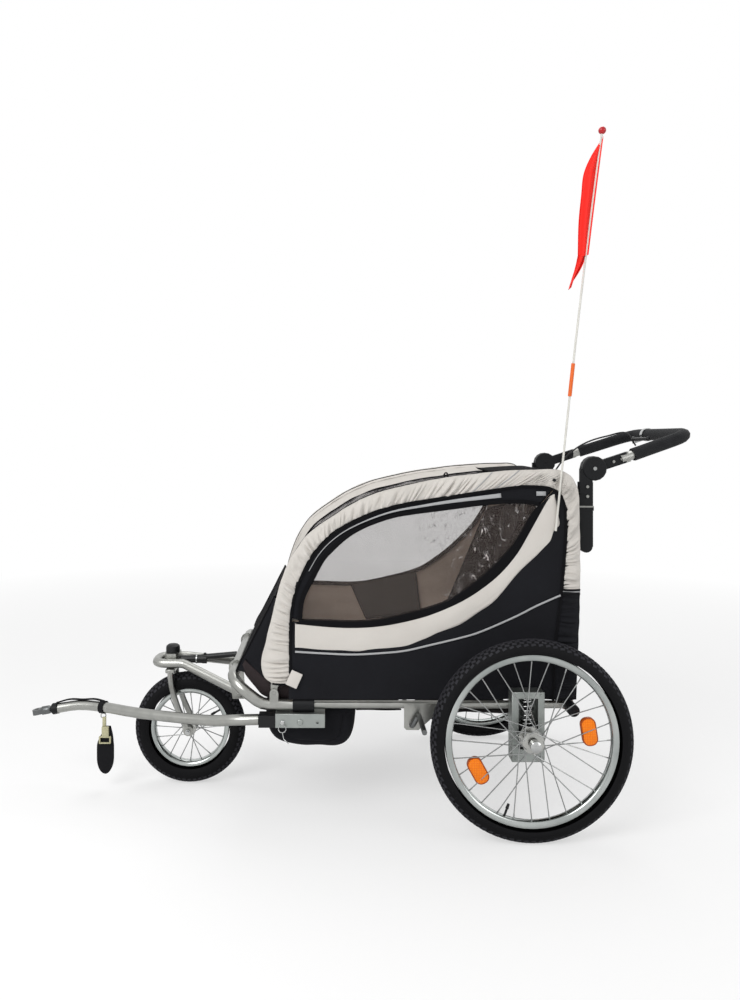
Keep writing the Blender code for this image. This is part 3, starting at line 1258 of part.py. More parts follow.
def coupler():
    """A domed body that ends in a flat eye for the hitch pin."""
    centre, ahead = coupler_frame()
    dome = [(COUPLER_RADIUS * math.sin(t), -COUPLER_RADIUS * math.cos(t)) for t in
            [math.pi / 2 * i / 4 for i in range(4, -1, -1)]]
    profile = [(0.0, 0.020), (COUPLER_RADIUS - 0.002, 0.020), (COUPLER_RADIUS, 0.017), *dome[:-1],
               (0.0, -COUPLER_RADIUS)]
    body = turned("hitch_coupler", profile, "chrome", centre, ahead, 16)
    side = Vector((0, 1, 0))
    turn = Matrix((ahead, side, ahead.cross(side))).transposed().to_4x4()
    eye = COUPLER_LENGTH - COUPLER_RADIUS - 0.013
    outline = [(0.010, -0.010), *circle(eye, 0, 0.013, 10, -math.pi / 2, math.pi), (0.010, 0.010)]
    tongue = meshed(flat("eye", [outline, circle(eye, 0, COUPLER_HOLE, 12)], COUPLER_THICK, "chrome",
                         Matrix.Translation(centre) @ turn))
    return fuse(body, tongue)


def lock_pin():
    """The pull pin with its ring and a bent tail."""
    face = TOW_BLOCK_HALF + GAP
    plate = face + BRACKET_WALL
    head = [(0.0, 0.006), (0.0045, 0.006), (0.0060, 0.0045), (0.0060, GAP), (RING_PIN_RADIUS, GAP),
            (RING_PIN_RADIUS, face - plate), (0.0, face - plate)]
    body = turned("tow_lock_pin", head, "chrome", (TOW_LOCK_X, TOW_Y - plate, TOW_PIVOT_Z), (0, -1, 0), 14)
    y = TOW_Y - plate - 0.004
    ring = [(TOW_LOCK_X + RING_RADIUS * math.sin(t), y - 0.002 * (1 - math.cos(t)),
             TOW_PIVOT_Z - 0.004 - RING_RADIUS * (1 - math.cos(t)))
            for t in [math.tau * i / 10 * 0.985 for i in range(11)]]
    tail = [(TOW_LOCK_X, y - 0.0035, TOW_PIVOT_Z - 0.022), (TOW_LOCK_X + 0.004, y - 0.0035, TOW_PIVOT_Z - 0.040),
            (TOW_LOCK_X + 0.016, y - 0.0035, TOW_PIVOT_Z - 0.052)]
    return fuse(body, meshed(tube("ring", ring[:-1], RING_WIRE, "chrome", resolution=1)),
                meshed(tube("tail", tail, RING_WIRE, "chrome", resolution=1)))


def strap_place():
    """Where the strap's band goes round the tow bar, and the bar's direction there."""
    path = tow_path()
    for a, b in zip(path, path[1:]):
        if b.x <= STRAP_X:
            return a.lerp(b, (a.x - STRAP_X) / (a.x - b.x)), (b - a).normalized()
    return path[-1], (path[-1] - path[-2]).normalized()


def safety_strap():
    """A band round the tow bar, a clip under it and a hanging loop of webbing."""
    centre, ahead = strap_place()
    hole = bore(TOW_TUBE_RADIUS, 16, 0.0008)
    band = turned("safety_strap", [(hole + 0.003, 0.008), (hole + 0.003, -0.008), (hole, -0.008), (hole, 0.008)],
                  "black_cloth", centre, ahead, 16, ring=True)
    top = centre.z - hole - 0.0015
    clip = box("clip", (centre.x - 0.0075, centre.y - 0.004, top - STRAP_CLIP_LENGTH),
               (centre.x + 0.0075, centre.y + 0.004, top), "black_plastic", bevel=0.001)
    low = top - STRAP_CLIP_LENGTH
    buckle = box("buckle", (centre.x - STRAP_WIDTH / 2 - 0.003, centre.y - 0.005, low - 0.010),
                 (centre.x + STRAP_WIDTH / 2 + 0.003, centre.y + 0.005, low + 0.003), "black_plastic", bevel=0.001)
    half = STRAP_LOOP_DEPTH / 2
    length = STRAP_LOOP_LENGTH
    outer = [(0.003, 0.0), (half, -0.25 * length), (half, -length + half), *circle(0, -length + half, half, 8, 0, -math.pi),
             (-half, -0.25 * length), (-0.003, 0.0)]
    thin = half - STRAP_WEB
    inner = [(0.0, -0.12 * length), (thin, -0.26 * length), *circle(0, -length + half, thin, 8, 0, -math.pi),
             (-thin, -0.26 * length)]
    stand = Matrix.Translation((centre.x, centre.y, low - 0.006)) @ Matrix(((0, 0, 1, 0), (1, 0, 0, 0), (0, 1, 0, 0), (0, 0, 0, 1)))
    loop = meshed(flat("loop", [outer, inner], STRAP_WIDTH, "black_cloth", stand))
    return fuse(band, clip, buckle, loop)


# Flag


def pole_line():
    return [Vector((x, -FLAG_Y, z)) for x, z in smooth_line(POLE_LINE, 3)]


def pole_part(low, high):
    """The pole's line between two heights."""
    line = pole_line()
    cut_line = [a.lerp(b, (z - a.z) / (b.z - a.z)) for z in (low, high) for a, b in zip(line, line[1:])
                if a.z <= z < b.z]
    return [cut_line[0], *[p for p in line if low + 0.002 < p.z < high - 0.002], cut_line[1]]


def flag_pole():
    line = pole_line()
    body = meshed(tube("flag_pole", line, POLE_RADIUS, "white_rod", resolution=2))
    ferrule = meshed(tube("ferrule", pole_part(FERRULE_LOW, FERRULE_HIGH), POLE_RADIUS * FERRULE_FACTOR,
                          "white_rod", resolution=2))
    ball = bmesh.new()
    bmesh.ops.create_uvsphere(ball, u_segments=8, v_segments=6, radius=BALL_RADIUS)
    bmesh.ops.translate(ball, vec=line[-1], verts=ball.verts)
    return fuse(body, ferrule, from_bmesh("ball", ball, "white_rod"))


def pennant():
    """A tapering flag that hangs in folds from the sleeve round the pole."""
    path = pole_part(PENNANT_BOTTOM, PENNANT_TOP)
    outer = POLE_RADIUS + GAP + 2 * SLEEVE_WALL
    body = meshed(tube("flag_pennant", path, outer, "flag_cloth", resolution=2))
    long_path = pole_part(PENNANT_BOTTOM - 0.02, PENNANT_TOP + 0.02)
    inside = meshed(tube("pole_bore", long_path, POLE_RADIUS + 2 * GAP, "flag_cloth", resolution=2))
    places = even_line(path, 11)
    rows = []
    for i, place in enumerate(places):
        share = min((place.z - PENNANT_BOTTOM) / (PENNANT_TOP - PENNANT_BOTTOM), 1.0)
        peak = (PENNANT_WIDEST - PENNANT_BOTTOM) / (PENNANT_TOP - PENNANT_BOTTOM)
        width = PENNANT_WIDTH * (share / peak if share < peak else ((1 - share) / (1 - peak)) ** 0.8)
        width = max(width, 0.006)
        drop = 0.10 * width / PENNANT_WIDTH
        row = []
        for j in range(7):
            out = j / 6
            wave = PENNANT_FOLD_DEPTH * math.sin(PENNANT_FOLDS * math.pi * out) * width / PENNANT_WIDTH
            row.append(place + Vector((-0.0042 - width * out, wave, -drop * out * 0.5)))
        rows.append(row)
    cloth = sheet("pennant_cloth", rows, PENNANT_THICK, "flag_cloth")
    return cut(fuse(body, meshed(cloth)), inside)


# Cabin fabric


def edge_line(inward=0.0):
    """The border's outer edge: the arch's line moved outward, then round the rear corner."""
    line = offset_line(arch_line(2), BORDER_FRONT - inward, BORDER_REAR - inward)
    return [p for p in line if p.y > BORDER_BOTTOM_Z + 0.012 and p.x < REAR_CORNER[0][0] - 0.012]


def side_panel(side, label):
    """The side's cloth with its window opening, cut out round the suspension housing."""
    edge = edge_line()
    notch = HOUSING_LENGTH / 2 + NOTCH_GAP
    roof = HOUSING_TOP + NOTCH_GAP
    outline = [(edge[0].x - 0.003, BORDER_BOTTOM_Z), *[tuple(p) for p in edge], *REAR_CORNER, *REAR_EDGE,
               (AXLE_X + notch, PANEL_BOTTOM_Z), (AXLE_X + notch, roof), (AXLE_X - notch, roof),
               (AXLE_X - notch, PANEL_BOTTOM_Z), (PANEL_FRONT_X, PANEL_BOTTOM_Z), (PANEL_FRONT_X, BORDER_BOTTOM_Z)]
    return flat(label + "_side_panel", [outline, WINDOW_BOTTOM + WINDOW_TOP], CLOTH, "pale_cloth",
                side_view(side * (PANEL_Y + CLOTH / 2)))


def window(side, label):
    """The clear film behind the opening, lapped all round."""
    corners = [Vector(p) for p in WINDOW_BOTTOM + WINDOW_TOP]
    outline = []
    for i, here in enumerate(corners):
        ahead = (corners[(i + 1) % len(corners)] - corners[i - 1]).normalized()
        outline.append(tuple(here + Vector((ahead.y, -ahead.x)) * FILM_LAP))
    return flat(label + "_window", [outline], FILM, "clear_film", side_view(side * (PANEL_Y - GAP - FILM / 2)))


def across(line, half, columns, sag):
    """Rows of points across the cabin along a line of (X, Z), sagging in the middle."""
    rows = []
    for i, here in enumerate(line):
        ahead = (line[min(i + 1, len(line) - 1)] - line[max(i - 1, 0)]).normalized()
        inward = Vector((ahead.y, -ahead.x))
        row = []
        for j in range(columns):
            v = 2 * j / (columns - 1) - 1
            place = here + inward * sag * (1 - v * v) * math.sin(math.pi * i / (len(line) - 1))
            row.append(Vector((place.x, v * half, place.y)))
        rows.append(row)
    return rows


def canopy():
    line = [p for p in edge_line(CLOTH / 2 + GAP) if p.y > CANOPY_FRONT_Z]
    line = [*line, *[Vector(p) for p in CANOPY_CORNER]]
    return sheet("canopy", across(line, PANEL_Y - GAP, 7, CANOPY_SAG), CLOTH, "pale_cloth")


def front_apron():
    line = smooth_line(APRON_LINE, 3)
    return sheet("front_apron", across(line, APRON_HALF, 7, CANOPY_SAG), CLOTH, "black_cloth")


def rear_panel():
    x = REAR_BAR_X + POST_RADIUS + 0.002 + CLOTH / 2
    line = [Vector((x, REAR_PANEL_TOP + (REAR_PANEL_BOTTOM - REAR_PANEL_TOP) * i / 8)) for i in range(9)]
    rows = [[Vector((p.x + 0.006 * math.sin(math.pi * i / 8), REAR_PANEL_HALF * v, p.y))
             for v in (-1, -0.5, 0, 0.5, 1)] for i, p in enumerate(line)]
    return sheet("rear_panel", rows, CLOTH, "black_cloth")


def footwell():
    """The bag for the feet, with the strip of floor behind it."""
    line = [Vector(p) for p in FOOTWELL_LINE]
    front = line[0].x
    outline = [(front, FOOTWELL_RIM_Z), *[tuple(p) for p in line], (line[-1].x, FLOOR_UNDER_Z),
               (FLOOR_REAR_X, FLOOR_UNDER_Z), (FLOOR_REAR_X, FLOOR_UNDER_Z + CLOTH),
               (line[-1].x + CLOTH, FOOTWELL_RIM_Z - 0.001), (line[-1].x, FOOTWELL_RIM_Z)]
    body = meshed(flat("footwell", [outline], 2 * FOOTWELL_HALF, "black_cloth", side_view(0)))
    inner = [p for p in offset_line(line, CLOTH, CLOTH)]
    room = [(front + CLOTH, FOOTWELL_RIM_Z + 0.01), *[tuple(p) for p in inner],
            (line[-1].x - CLOTH, FOOTWELL_RIM_Z + 0.01)]
    return cut(body, meshed(flat("room", [room], 2 * (FOOTWELL_HALF - CLOTH), "black_cloth", side_view(0))))


# Seat


def seat_base():
    thick = (SEAT_TOP_Z - SEAT_BELLY_Z) * 0.62
    middle = SEAT_BELLY_Z + thick / 2
    place = Matrix.Translation(((SEAT_FRONT_X + SEAT_REAR_X) / 2, 0, middle))
    return padded("seat_base", "black_cloth", SEAT_REAR_X - SEAT_FRONT_X, 2 * SEAT_HALF, thick,
                  SEAT_TOP_Z - SEAT_BELLY_Z - thick, SEAT_CHANNELS, place)


def back_frame():
    """The seat back's own frame: X up along it, Z out of its front."""
    foot = Vector((BACK_FOOT[0], 0, BACK_FOOT[1]))
    head = Vector((BACK_HEAD[0], 0, BACK_HEAD[1]))
    up = (head - foot).normalized()
    side = Vector((0, 1, 0))
    turn = Matrix((up, side, up.cross(side))).transposed().to_4x4()
    return (head - foot).length, Matrix.Translation((foot + head) / 2) @ turn


def seat_back():
    length, frame = back_frame()
    return padded("seat_back", "black_cloth", length, 2 * BACK_HALF, BACK_THICK * 0.7, BACK_THICK * 0.3,
                  BACK_CHANNELS, frame, cells=(16, 6))


def harness():
    """Two shoulder straps, a waist strap and the buckle where they meet."""
    length, frame = back_frame()
    top = length / 2 - 0.04
    low = -length / 2 + 0.07
    half = STRAP_HALF
    outline = [(low, -0.15), (low + 2 * half, -0.15), (low + 2 * half, -0.045 - half), (top, -0.075 - half),
               (top, -0.075 + half), (low + 2 * half, -0.045 + half), (low + 2 * half, 0.045 - half),
               (top, 0.075 - half), (top, 0.075 + half), (low + 2 * half, 0.045 + half), (low + 2 * half, 0.15),
               (low, 0.15), (low, BUCKLE_HALF), (low - 0.03, BUCKLE_HALF * 0.6), (low - 0.03, -BUCKLE_HALF * 0.6),
               (low, -BUCKLE_HALF)]
    lift = BACK_THICK * 0.65 + HARNESS_LIFT
    return flat("harness", [outline], HARNESS_THICK, "black_cloth", frame @ Matrix.Translation((0, 0, lift)))


# Each joint's empty, with the pieces that move on it


def build_trailer():
    arch_ears(bumper())
    rear_bar()
    axle_bar()
    for side, label in ((-1, "left"), (1, "right")):
        rail(side, label)
        housing(side, label)
        damper(side, label)
    swivel_head()
    front_arm()
    front_stay()
    tow_bracket()
    front_apron()
    footwell()
    seat_base()
    carry(empty("brake_apply", (BRAKE_PIVOT_X, 0, BRAKE_PIVOT_Z)), brake_bar())


def build_wheels():
    for side, label in ((-1, "left"), (1, "right")):
        slide = empty(label + "_suspension", (AXLE_X, side * COIL_MID_Y, AXLE_Z))
        carry(slide, carrier(side, label), coil(side, label))
        spin = empty(label + "_wheel_spin", (AXLE_X, side * TRACK_HALF, AXLE_Z))
        carry(spin, *rear_wheel(side, label))
        carry(slide, spin, axle_cap(side, label))
    swivel = empty("front_swivel", (HEAD_X, 0, HEAD_BOTTOM_Z))
    spin = empty("front_wheel_spin", (FRONT_HUB_X, 0, FRONT_HUB_Z))
    carry(spin, *front_wheel())
    carry(swivel, fork(), swivel_cap(), front_axle(), spin)


def build_cabin():
    for side, label in ((-1, "left"), (1, "right")):
        carry(empty(label + "_arch_fold", (ARCH_FOOT[0], side * RAIL_Y, ARCH_FOOT[1])), arch(side, label))
    fold = empty("cabin_fold", (REAR_BAR_X, 0, RAIL_Z))
    cloth = [canopy(), rear_panel(), seat_back(), harness()]
    for side, label in ((-1, "left"), (1, "right")):
        cloth += [side_panel(side, label), window(side, label)]
    carry(fold, upright(), handle_hinge(-1, "left"), handle_hinge(1, "right"), cable(), flag_pole(), pennant(),
          *cloth)
    tilt = empty("handle_tilt", (HANDLE_X, 0, HANDLE_Z))
    pull = empty("brake_lever_pull", lever_frame()[1].translation)
    carry(pull, lever())
    carry(tilt, handle_bar(), grip(), lever_clamp(), pull)
    carry(fold, tilt)


def build_tow_bar():
    swing = empty("tow_bar_swing", (TOW_PIVOT_X, TOW_Y, TOW_PIVOT_Z))
    flex = empty("coupler_flex", coupler_frame()[0])
    hang = empty("strap_swing", strap_place()[0])
    carry(flex, coupler())
    carry(hang, safety_strap())
    carry(swing, tow_end(), tow_bar(), flex, hang)
    carry(empty("lock_pin_slide", (TOW_LOCK_X, TOW_Y, TOW_PIVOT_Z)), lock_pin())


build_trailer()
build_wheels()
build_cabin()
build_tow_bar()
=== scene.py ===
import json
import math

import bmesh
import bpy
from mathutils import Matrix, Vector, noise

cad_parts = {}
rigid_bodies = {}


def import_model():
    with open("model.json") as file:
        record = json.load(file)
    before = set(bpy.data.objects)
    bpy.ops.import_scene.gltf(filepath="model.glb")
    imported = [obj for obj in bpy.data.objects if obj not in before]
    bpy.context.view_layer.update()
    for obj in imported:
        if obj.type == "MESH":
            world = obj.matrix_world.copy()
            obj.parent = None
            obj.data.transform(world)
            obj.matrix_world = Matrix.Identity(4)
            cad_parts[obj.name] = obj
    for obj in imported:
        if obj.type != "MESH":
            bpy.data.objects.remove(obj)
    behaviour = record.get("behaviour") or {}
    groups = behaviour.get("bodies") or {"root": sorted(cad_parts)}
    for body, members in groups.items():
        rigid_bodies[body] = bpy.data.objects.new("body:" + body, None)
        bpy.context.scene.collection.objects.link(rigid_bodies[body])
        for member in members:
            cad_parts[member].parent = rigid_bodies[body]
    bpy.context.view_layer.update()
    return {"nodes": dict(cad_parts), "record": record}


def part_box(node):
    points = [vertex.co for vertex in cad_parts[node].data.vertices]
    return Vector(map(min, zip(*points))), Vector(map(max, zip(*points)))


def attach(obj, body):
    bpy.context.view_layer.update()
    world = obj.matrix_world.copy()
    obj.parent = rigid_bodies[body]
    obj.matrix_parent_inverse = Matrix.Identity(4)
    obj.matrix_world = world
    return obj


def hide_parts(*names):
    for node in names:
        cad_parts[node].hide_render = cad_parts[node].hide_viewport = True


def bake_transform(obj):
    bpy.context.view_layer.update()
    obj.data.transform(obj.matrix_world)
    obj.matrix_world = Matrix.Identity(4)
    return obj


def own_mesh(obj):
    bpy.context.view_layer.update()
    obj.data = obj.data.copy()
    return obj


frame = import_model()
record = frame["record"]
bodyOf = {node: body for body, nodes in record["behaviour"]["bodies"].items() for node in nodes}
slotOf = {part["node"]: part["material_slot"] for part in record["subparts"]}
sides = ((-1, "left"), (1, "right"))
print("frame loaded:", len(frame["nodes"]), "nodes")


def addObject(name, data):
    made = bpy.data.objects.new(name, data)
    bpy.context.scene.collection.objects.link(made)
    return made


def meshOf(name, shape):
    data = bpy.data.meshes.new(name)
    shape.to_mesh(data)
    shape.free()
    return data


def paint(red, green, blue):
    # a colour as a picture shows it, turned into the linear values that shaders take
    return tuple(c / 12.92 if c <= 0.04045 else ((c + 0.055) / 1.055) ** 2.4 for c in
                 (red / 255, green / 255, blue / 255)) + (1.0,)


class Flow:
    # one output socket of a node tree; arithmetic on it adds Math nodes

    def __init__(self, tree, socket):
        self.tree = tree
        self.socket = socket

    def maths(self, operation, *others):
        made = self.tree.nodes.new("ShaderNodeMath")
        made.operation = operation
        for slot, value in zip(made.inputs, (self, *others)):
            plug(self.tree, slot, value)
        return Flow(self.tree, made.outputs[0])

    def __add__(self, other):
        return self.maths("ADD", other)

    def __sub__(self, other):
        return self.maths("SUBTRACT", other)

    def __rsub__(self, other):
        return self.maths("MULTIPLY", -1.0).maths("ADD", other)

    def __mul__(self, other):
        return self.maths("MULTIPLY", other)

    def __truediv__(self, other):
        return self.maths("DIVIDE", other)

    def clamped(self):
        return self.maths("MAXIMUM", 0.0).maths("MINIMUM", 1.0)

    def wave(self, scale):
        return (self * scale).maths("SINE") * 0.5 + 0.5

    __radd__ = __add__
    __rmul__ = __mul__


def plug(tree, slot, value):
    if isinstance(value, Flow):
        tree.links.new(value.socket, slot)
    else:
        slot.default_value = value


class Shading:
    # a node tree, and the one way to add nodes to it

    def __init__(self, tree):
        self.tree = tree

    def node(self, kind, sockets=None, out=0, **settings):
        made = self.tree.nodes.new(kind)
        for key, value in settings.items():
            setattr(made, key, value)
        for key, value in (sockets or {}).items():
            plug(self.tree, made.inputs[key], value)
        return Flow(self.tree, made.outputs[out])

    def axes(self, where):
        parts = self.node("ShaderNodeSeparateXYZ", {"Vector": where}).socket.node
        return [Flow(self.tree, parts.outputs[i]) for i in range(3)]

    def show(self, shader, output):
        self.tree.links.new(shader.socket, self.tree.nodes[output].inputs["Surface"])


finishes = {}


class Finish(Shading):
    # one material: a Principled shader, and short ways to the nodes that feed it

    def __init__(self, name, colour, roughness, metallic=0.0, coat=0.0, sheen=0.0, specular=0.5):
        self.material = bpy.data.materials.new(name)
        self.material.use_nodes = True
        super().__init__(self.material.node_tree)
        self.shader = self.tree.nodes["Principled BSDF"]
        self.give("Base Color", colour)
        self.give("Roughness", roughness)
        self.give("Metallic", metallic)
        self.give("Coat Weight", coat)
        self.give("Sheen Weight", sheen)
        self.give("Specular IOR Level", specular)
        self.place = self.node("ShaderNodeTexCoord", out="Object")
        finishes[name] = self

    def give(self, socket, value):
        plug(self.tree, self.shader.inputs[socket], value)

    def noise(self, scale, detail=2.0, stretch=None):
        where = self.place
        if stretch:
            where = self.node("ShaderNodeMapping", {"Vector": where, "Scale": stretch})
        return self.node("ShaderNodeTexNoise", {"Vector": where, "Scale": scale, "Detail": detail})

    def blended(self, share, first, second):
        return self.node("ShaderNodeMix", {0: share, 6: first, 7: second}, out=2, data_type="RGBA")

    def bump(self, height, distance, strength=1.0, after=None):
        sockets = {"Height": height, "Distance": distance, "Strength": strength}
        if after:
            sockets["Normal"] = after
        made = self.node("ShaderNodeBump", sockets)
        self.give("Normal", made)
        return made


# Camera and lights

white = (1, 1, 1, 1)
studio = {
    "cameraPlace": (-0.058, -2.34, 0.994),
    "focalLength": 29.05,
    "shift": (0.04, -0.062),
    "floorSize": 40.0,
    "floorDrop": 0.0005,
    "floorFade": (1.6, 4.2),
    "floorGlow": 0.55,
    "skyHigh": 0.52,
    "skyLow": 0.26,
    "lampsAimAt": (0, 0, 0.5),
    "lamps": {  # place, size and power
        "keyLight": ((-2.2, -3.0, 3.0), 2.4, 122.0),
        "fillLight": ((3.0, -2.0, 1.6), 2.0, 24.0),
        "topLight": ((0.3, 1.2, 3.6), 2.6, 42.0),
    },
}


def placeCamera():
    eye = bpy.data.cameras.new("camera")
    eye.lens = studio["focalLength"]
    eye.sensor_width = 36.0
    eye.shift_x, eye.shift_y = studio["shift"]
    camera = addObject("camera", eye)
    camera.location = studio["cameraPlace"]
    camera.rotation_euler = (math.radians(90), 0, 0)
    bpy.context.scene.camera = camera
    bpy.context.scene.view_settings.view_transform = "Standard"


def layFloor():
    # white paper that fades into the white background
    shape = bmesh.new()
    bmesh.ops.create_grid(shape, x_segments=1, y_segments=1, size=studio["floorSize"] / 2)
    floor = addObject("floor", meshOf("floor", shape))
    floor.location = (0, 0, -studio["floorDrop"])
    look = Finish("floorPaper", (0.94, 0.94, 0.94, 1), 0.9)
    near, far = studio["floorFade"]
    distance = look.node("ShaderNodeVectorMath", {0: look.place}, out="Value", operation="LENGTH")
    glowShare = studio["floorGlow"]
    fade = ((distance - near) / (far - near)).clamped() * (1 - glowShare) + glowShare
    rays = look.node("ShaderNodeLightPath", out="Is Camera Ray")
    glow = look.node("ShaderNodeEmission", {"Color": white, "Strength": 1.0})
    paper = Flow(look.tree, look.shader.outputs[0])
    look.show(look.node("ShaderNodeMixShader", {0: fade * rays, 1: paper, 2: glow}), "Material Output")
    floor.data.materials.append(look.material)


def lightTheSky():
    # plain white where it is seen or mirrored, and a dimmer light from above elsewhere
    world = bpy.data.worlds.new("studio")
    bpy.context.scene.world = world
    world.use_nodes = True
    sky = Shading(world.node_tree)
    seen = sky.node("ShaderNodeLightPath", out="Is Camera Ray")
    for ray in ("Is Transmission Ray", "Is Glossy Ray"):
        seen = seen.maths("MAXIMUM", sky.node("ShaderNodeLightPath", out=ray))
    up = sky.axes(sky.node("ShaderNodeTexCoord", out="Generated"))[2].clamped()
    strength = up * (studio["skyHigh"] - studio["skyLow"]) + studio["skyLow"]
    dim = sky.node("ShaderNodeBackground", {"Color": white, "Strength": strength})
    plain = sky.node("ShaderNodeBackground", {"Color": white, "Strength": 1.0})
    sky.show(sky.node("ShaderNodeMixShader", {0: seen, 1: dim, 2: plain}), "World Output")


def hangLamps():
    for name, (place, size, power) in studio["lamps"].items():
        data = bpy.data.lights.new(name, "AREA")
        data.shape = "SQUARE"
        data.size = size
        data.energy = power
        made = addObject(name, data)
        made.location = place
        aim = Vector(studio["lampsAimAt"]) - Vector(place)
        made.rotation_euler = aim.to_track_quat("-Z", "Y").to_euler()


placeCamera()
layFloor()
lightTheSky()
hangLamps()
print("stage set")

# Finishes

clothLook = {"threadsPerMetre": 1300.0, "weaveDepth": 0.00016, "creaseDepth": 0.0022}
silver = paint(170, 170, 166)
silverDark = paint(142, 143, 139)
blackMoulding = paint(16, 17, 19)


def wovenCloth(name, light, dark, roughness=0.85, crease=1.0, specular=0.3, sheen=0.03):
    look = Finish(name, light, roughness, sheen=sheen, specular=specular)
    across, along, _ = look.axes(look.node("ShaderNodeTexCoord", out="UV"))
    thread = clothLook["threadsPerMetre"] * math.tau
    weave = across.wave(thread) * along.wave(thread)
    soft = look.noise(9.0, 4.0)
    fine = look.noise(420.0)
    look.give("Base Color", look.blended((soft * 0.7 + fine * 0.3 + weave * 0.12).clamped(), dark, light))
    look.give("Roughness", fine * 0.16 + (roughness - 0.08))
    first = look.bump(look.noise(26.0, 3.0), clothLook["creaseDepth"] * crease, 0.6)
    look.bump(weave, clothLook["weaveDepth"], 0.6, after=first)


def satinMetal(name, colour, darker, roughness, patch=38.0):
    look = Finish(name, colour, roughness, 1.0)
    drawn = look.noise(patch, 6.0)
    fine = look.noise(900.0)
    look.give("Base Color", look.blended(drawn, darker, colour))
    look.give("Roughness", drawn * 0.12 + fine * 0.08 + (roughness - 0.1))
    look.bump(fine, 0.00004, 0.5)


def edge(value, start):
    # 0 below the start and 1 above it
    return ((value - start) * 4000.0).clamped()


def below(value, end):
    return 1.0 - edge(value, end)


def band(value, low, high):
    return edge(value, low) * below(value, high)


def silverAndBlack(name, blackPart):
    # a silver piece with black stretches; blackPart gives 1 there, from X, Y off the middle and Z
    look = Finish(name, silver, 0.34, specular=0.2)
    x, y, z = look.axes(look.place)
    black = blackPart(x, y.maths("ABSOLUTE"), z).clamped()
    drawn = look.noise(38.0, 6.0)
    metal = look.blended(drawn, silverDark, silver)
    look.give("Base Color", look.blended(black, metal, blackMoulding))
    look.give("Metallic", 1.0 - black)
    look.give("Roughness", drawn * 0.12 + black * 0.16 + 0.26)
    look.bump(look.noise(900.0), 0.00005, 0.5)


def mouldedPlastic(name, colour, roughness, grain=1.0, coat=0.0):
    look = Finish(name, colour, roughness, coat=coat, specular=0.3)
    fine = look.noise(1600.0)
    soft = look.noise(20.0, 3.0)
    dark = tuple(c * 0.7 for c in colour[:3]) + (1.0,)
    look.give("Base Color", look.blended(soft, dark, colour))
    look.give("Roughness", fine * 0.15 + soft * 0.12 + (roughness - 0.13))
    look.bump(fine, 0.00008 * grain, 0.6)


def closedCellFoam(name, dark, light):
    look = Finish(name, light, 0.9, sheen=0.05, specular=0.2)
    cells = look.node("ShaderNodeTexVoronoi", {"Vector": look.place, "Scale": 700.0}, out="Distance")
    look.give("Base Color", look.blended(look.noise(60.0, 3.0), dark, light))
    look.bump(cells, 0.0002, 0.5)


def tyreRubber(name, light, dark):
    look = Finish(name, light, 0.72, specular=0.12)
    dust = look.noise(14.0, 5.0)
    look.give("Base Color", look.blended(dust, dark, light))
    look.give("Roughness", dust * 0.2 + 0.58)
    look.bump(look.noise(600.0), 0.0001, 0.6)


def paintedHighlightLine(pattern, thinness):
    # 1 along the lines where a noise pattern passes its middle; the films use these lines for painted
    # highlights
    return (1.0 - (pattern - 0.5).maths("ABSOLUTE") * thinness).clamped()


def clearFilm(name, shade, light, body, paintedHighlightsFrom, folds):
    # thin clear sheet; past a given X it has painted highlights, near-white lines along its creases that
    # stand for light glinting off them. folds is how far its tint varies with the crinkles, painting shade
    # into their hollows and highlight onto their ridges
    look = Finish(name, light, 0.1, specular=0.25)
    crinkle = look.noise(30.0, 6.0, stretch=(1.0, 1.0, 0.5))
    haze = look.noise(7.0, 3.0)
    ridge = look.noise(22.0, 5.0, stretch=(2.0, 1.0, 0.6))
    small = look.noise(33.0, 4.0, stretch=(1.3, 1.0, 0.8))
    broken = look.noise(46.0) * 7.0
    # painted highlights: thin broken lines along the noise ridges turn near-white and more opaque, standing
    # for light glinting off the crinkles
    line = paintedHighlightLine(ridge, 95.0) * (broken - 3.2).clamped()
    line = line.maths("MAXIMUM", paintedHighlightLine(small, 60.0) * (broken - 3.5).clamped() * 0.8)
    crease = line * ((look.axes(look.place)[0] - paintedHighlightsFrom) * 9.0).clamped()
    # painted shade and highlight: the tint follows the crinkle bump, darker in its hollows and lighter on its
    # ridges; folds sets how strong
    tintWithPaintedShade = look.blended(((crinkle - 0.5) * folds + 0.5).clamped(), shade, light)
    look.give("Base Color", look.blended(crease, tintWithPaintedShade, paint(232, 230, 230)))
    look.give("Alpha", (haze * 0.08 + body + crease * 0.5).clamped())
    look.give("Roughness", haze * 0.12 + 0.05)
    look.bump(crinkle, 0.005, 0.5)


def fineMesh(name, colour, cover):
    look = Finish(name, colour, 0.8, specular=0.2)
    across, along, _ = look.axes(look.node("ShaderNodeTexCoord", out="UV"))
    holes = across.wave(480.0 * math.tau) * along.wave(480.0 * math.tau)
    look.give("Alpha", 1.0 - (holes * 3.0 - 0.6).clamped() * (1 - cover))


def amberLens(name, deep, light):
    look = Finish(name, light, 0.3, coat=0.15, specular=0.25)
    x, _, z = look.axes(look.place)
    prisms = x.wave(1500.0) * z.wave(1500.0)
    look.give("Base Color", look.blended(prisms, deep, light))
    look.bump(prisms, 0.0006, 0.6)


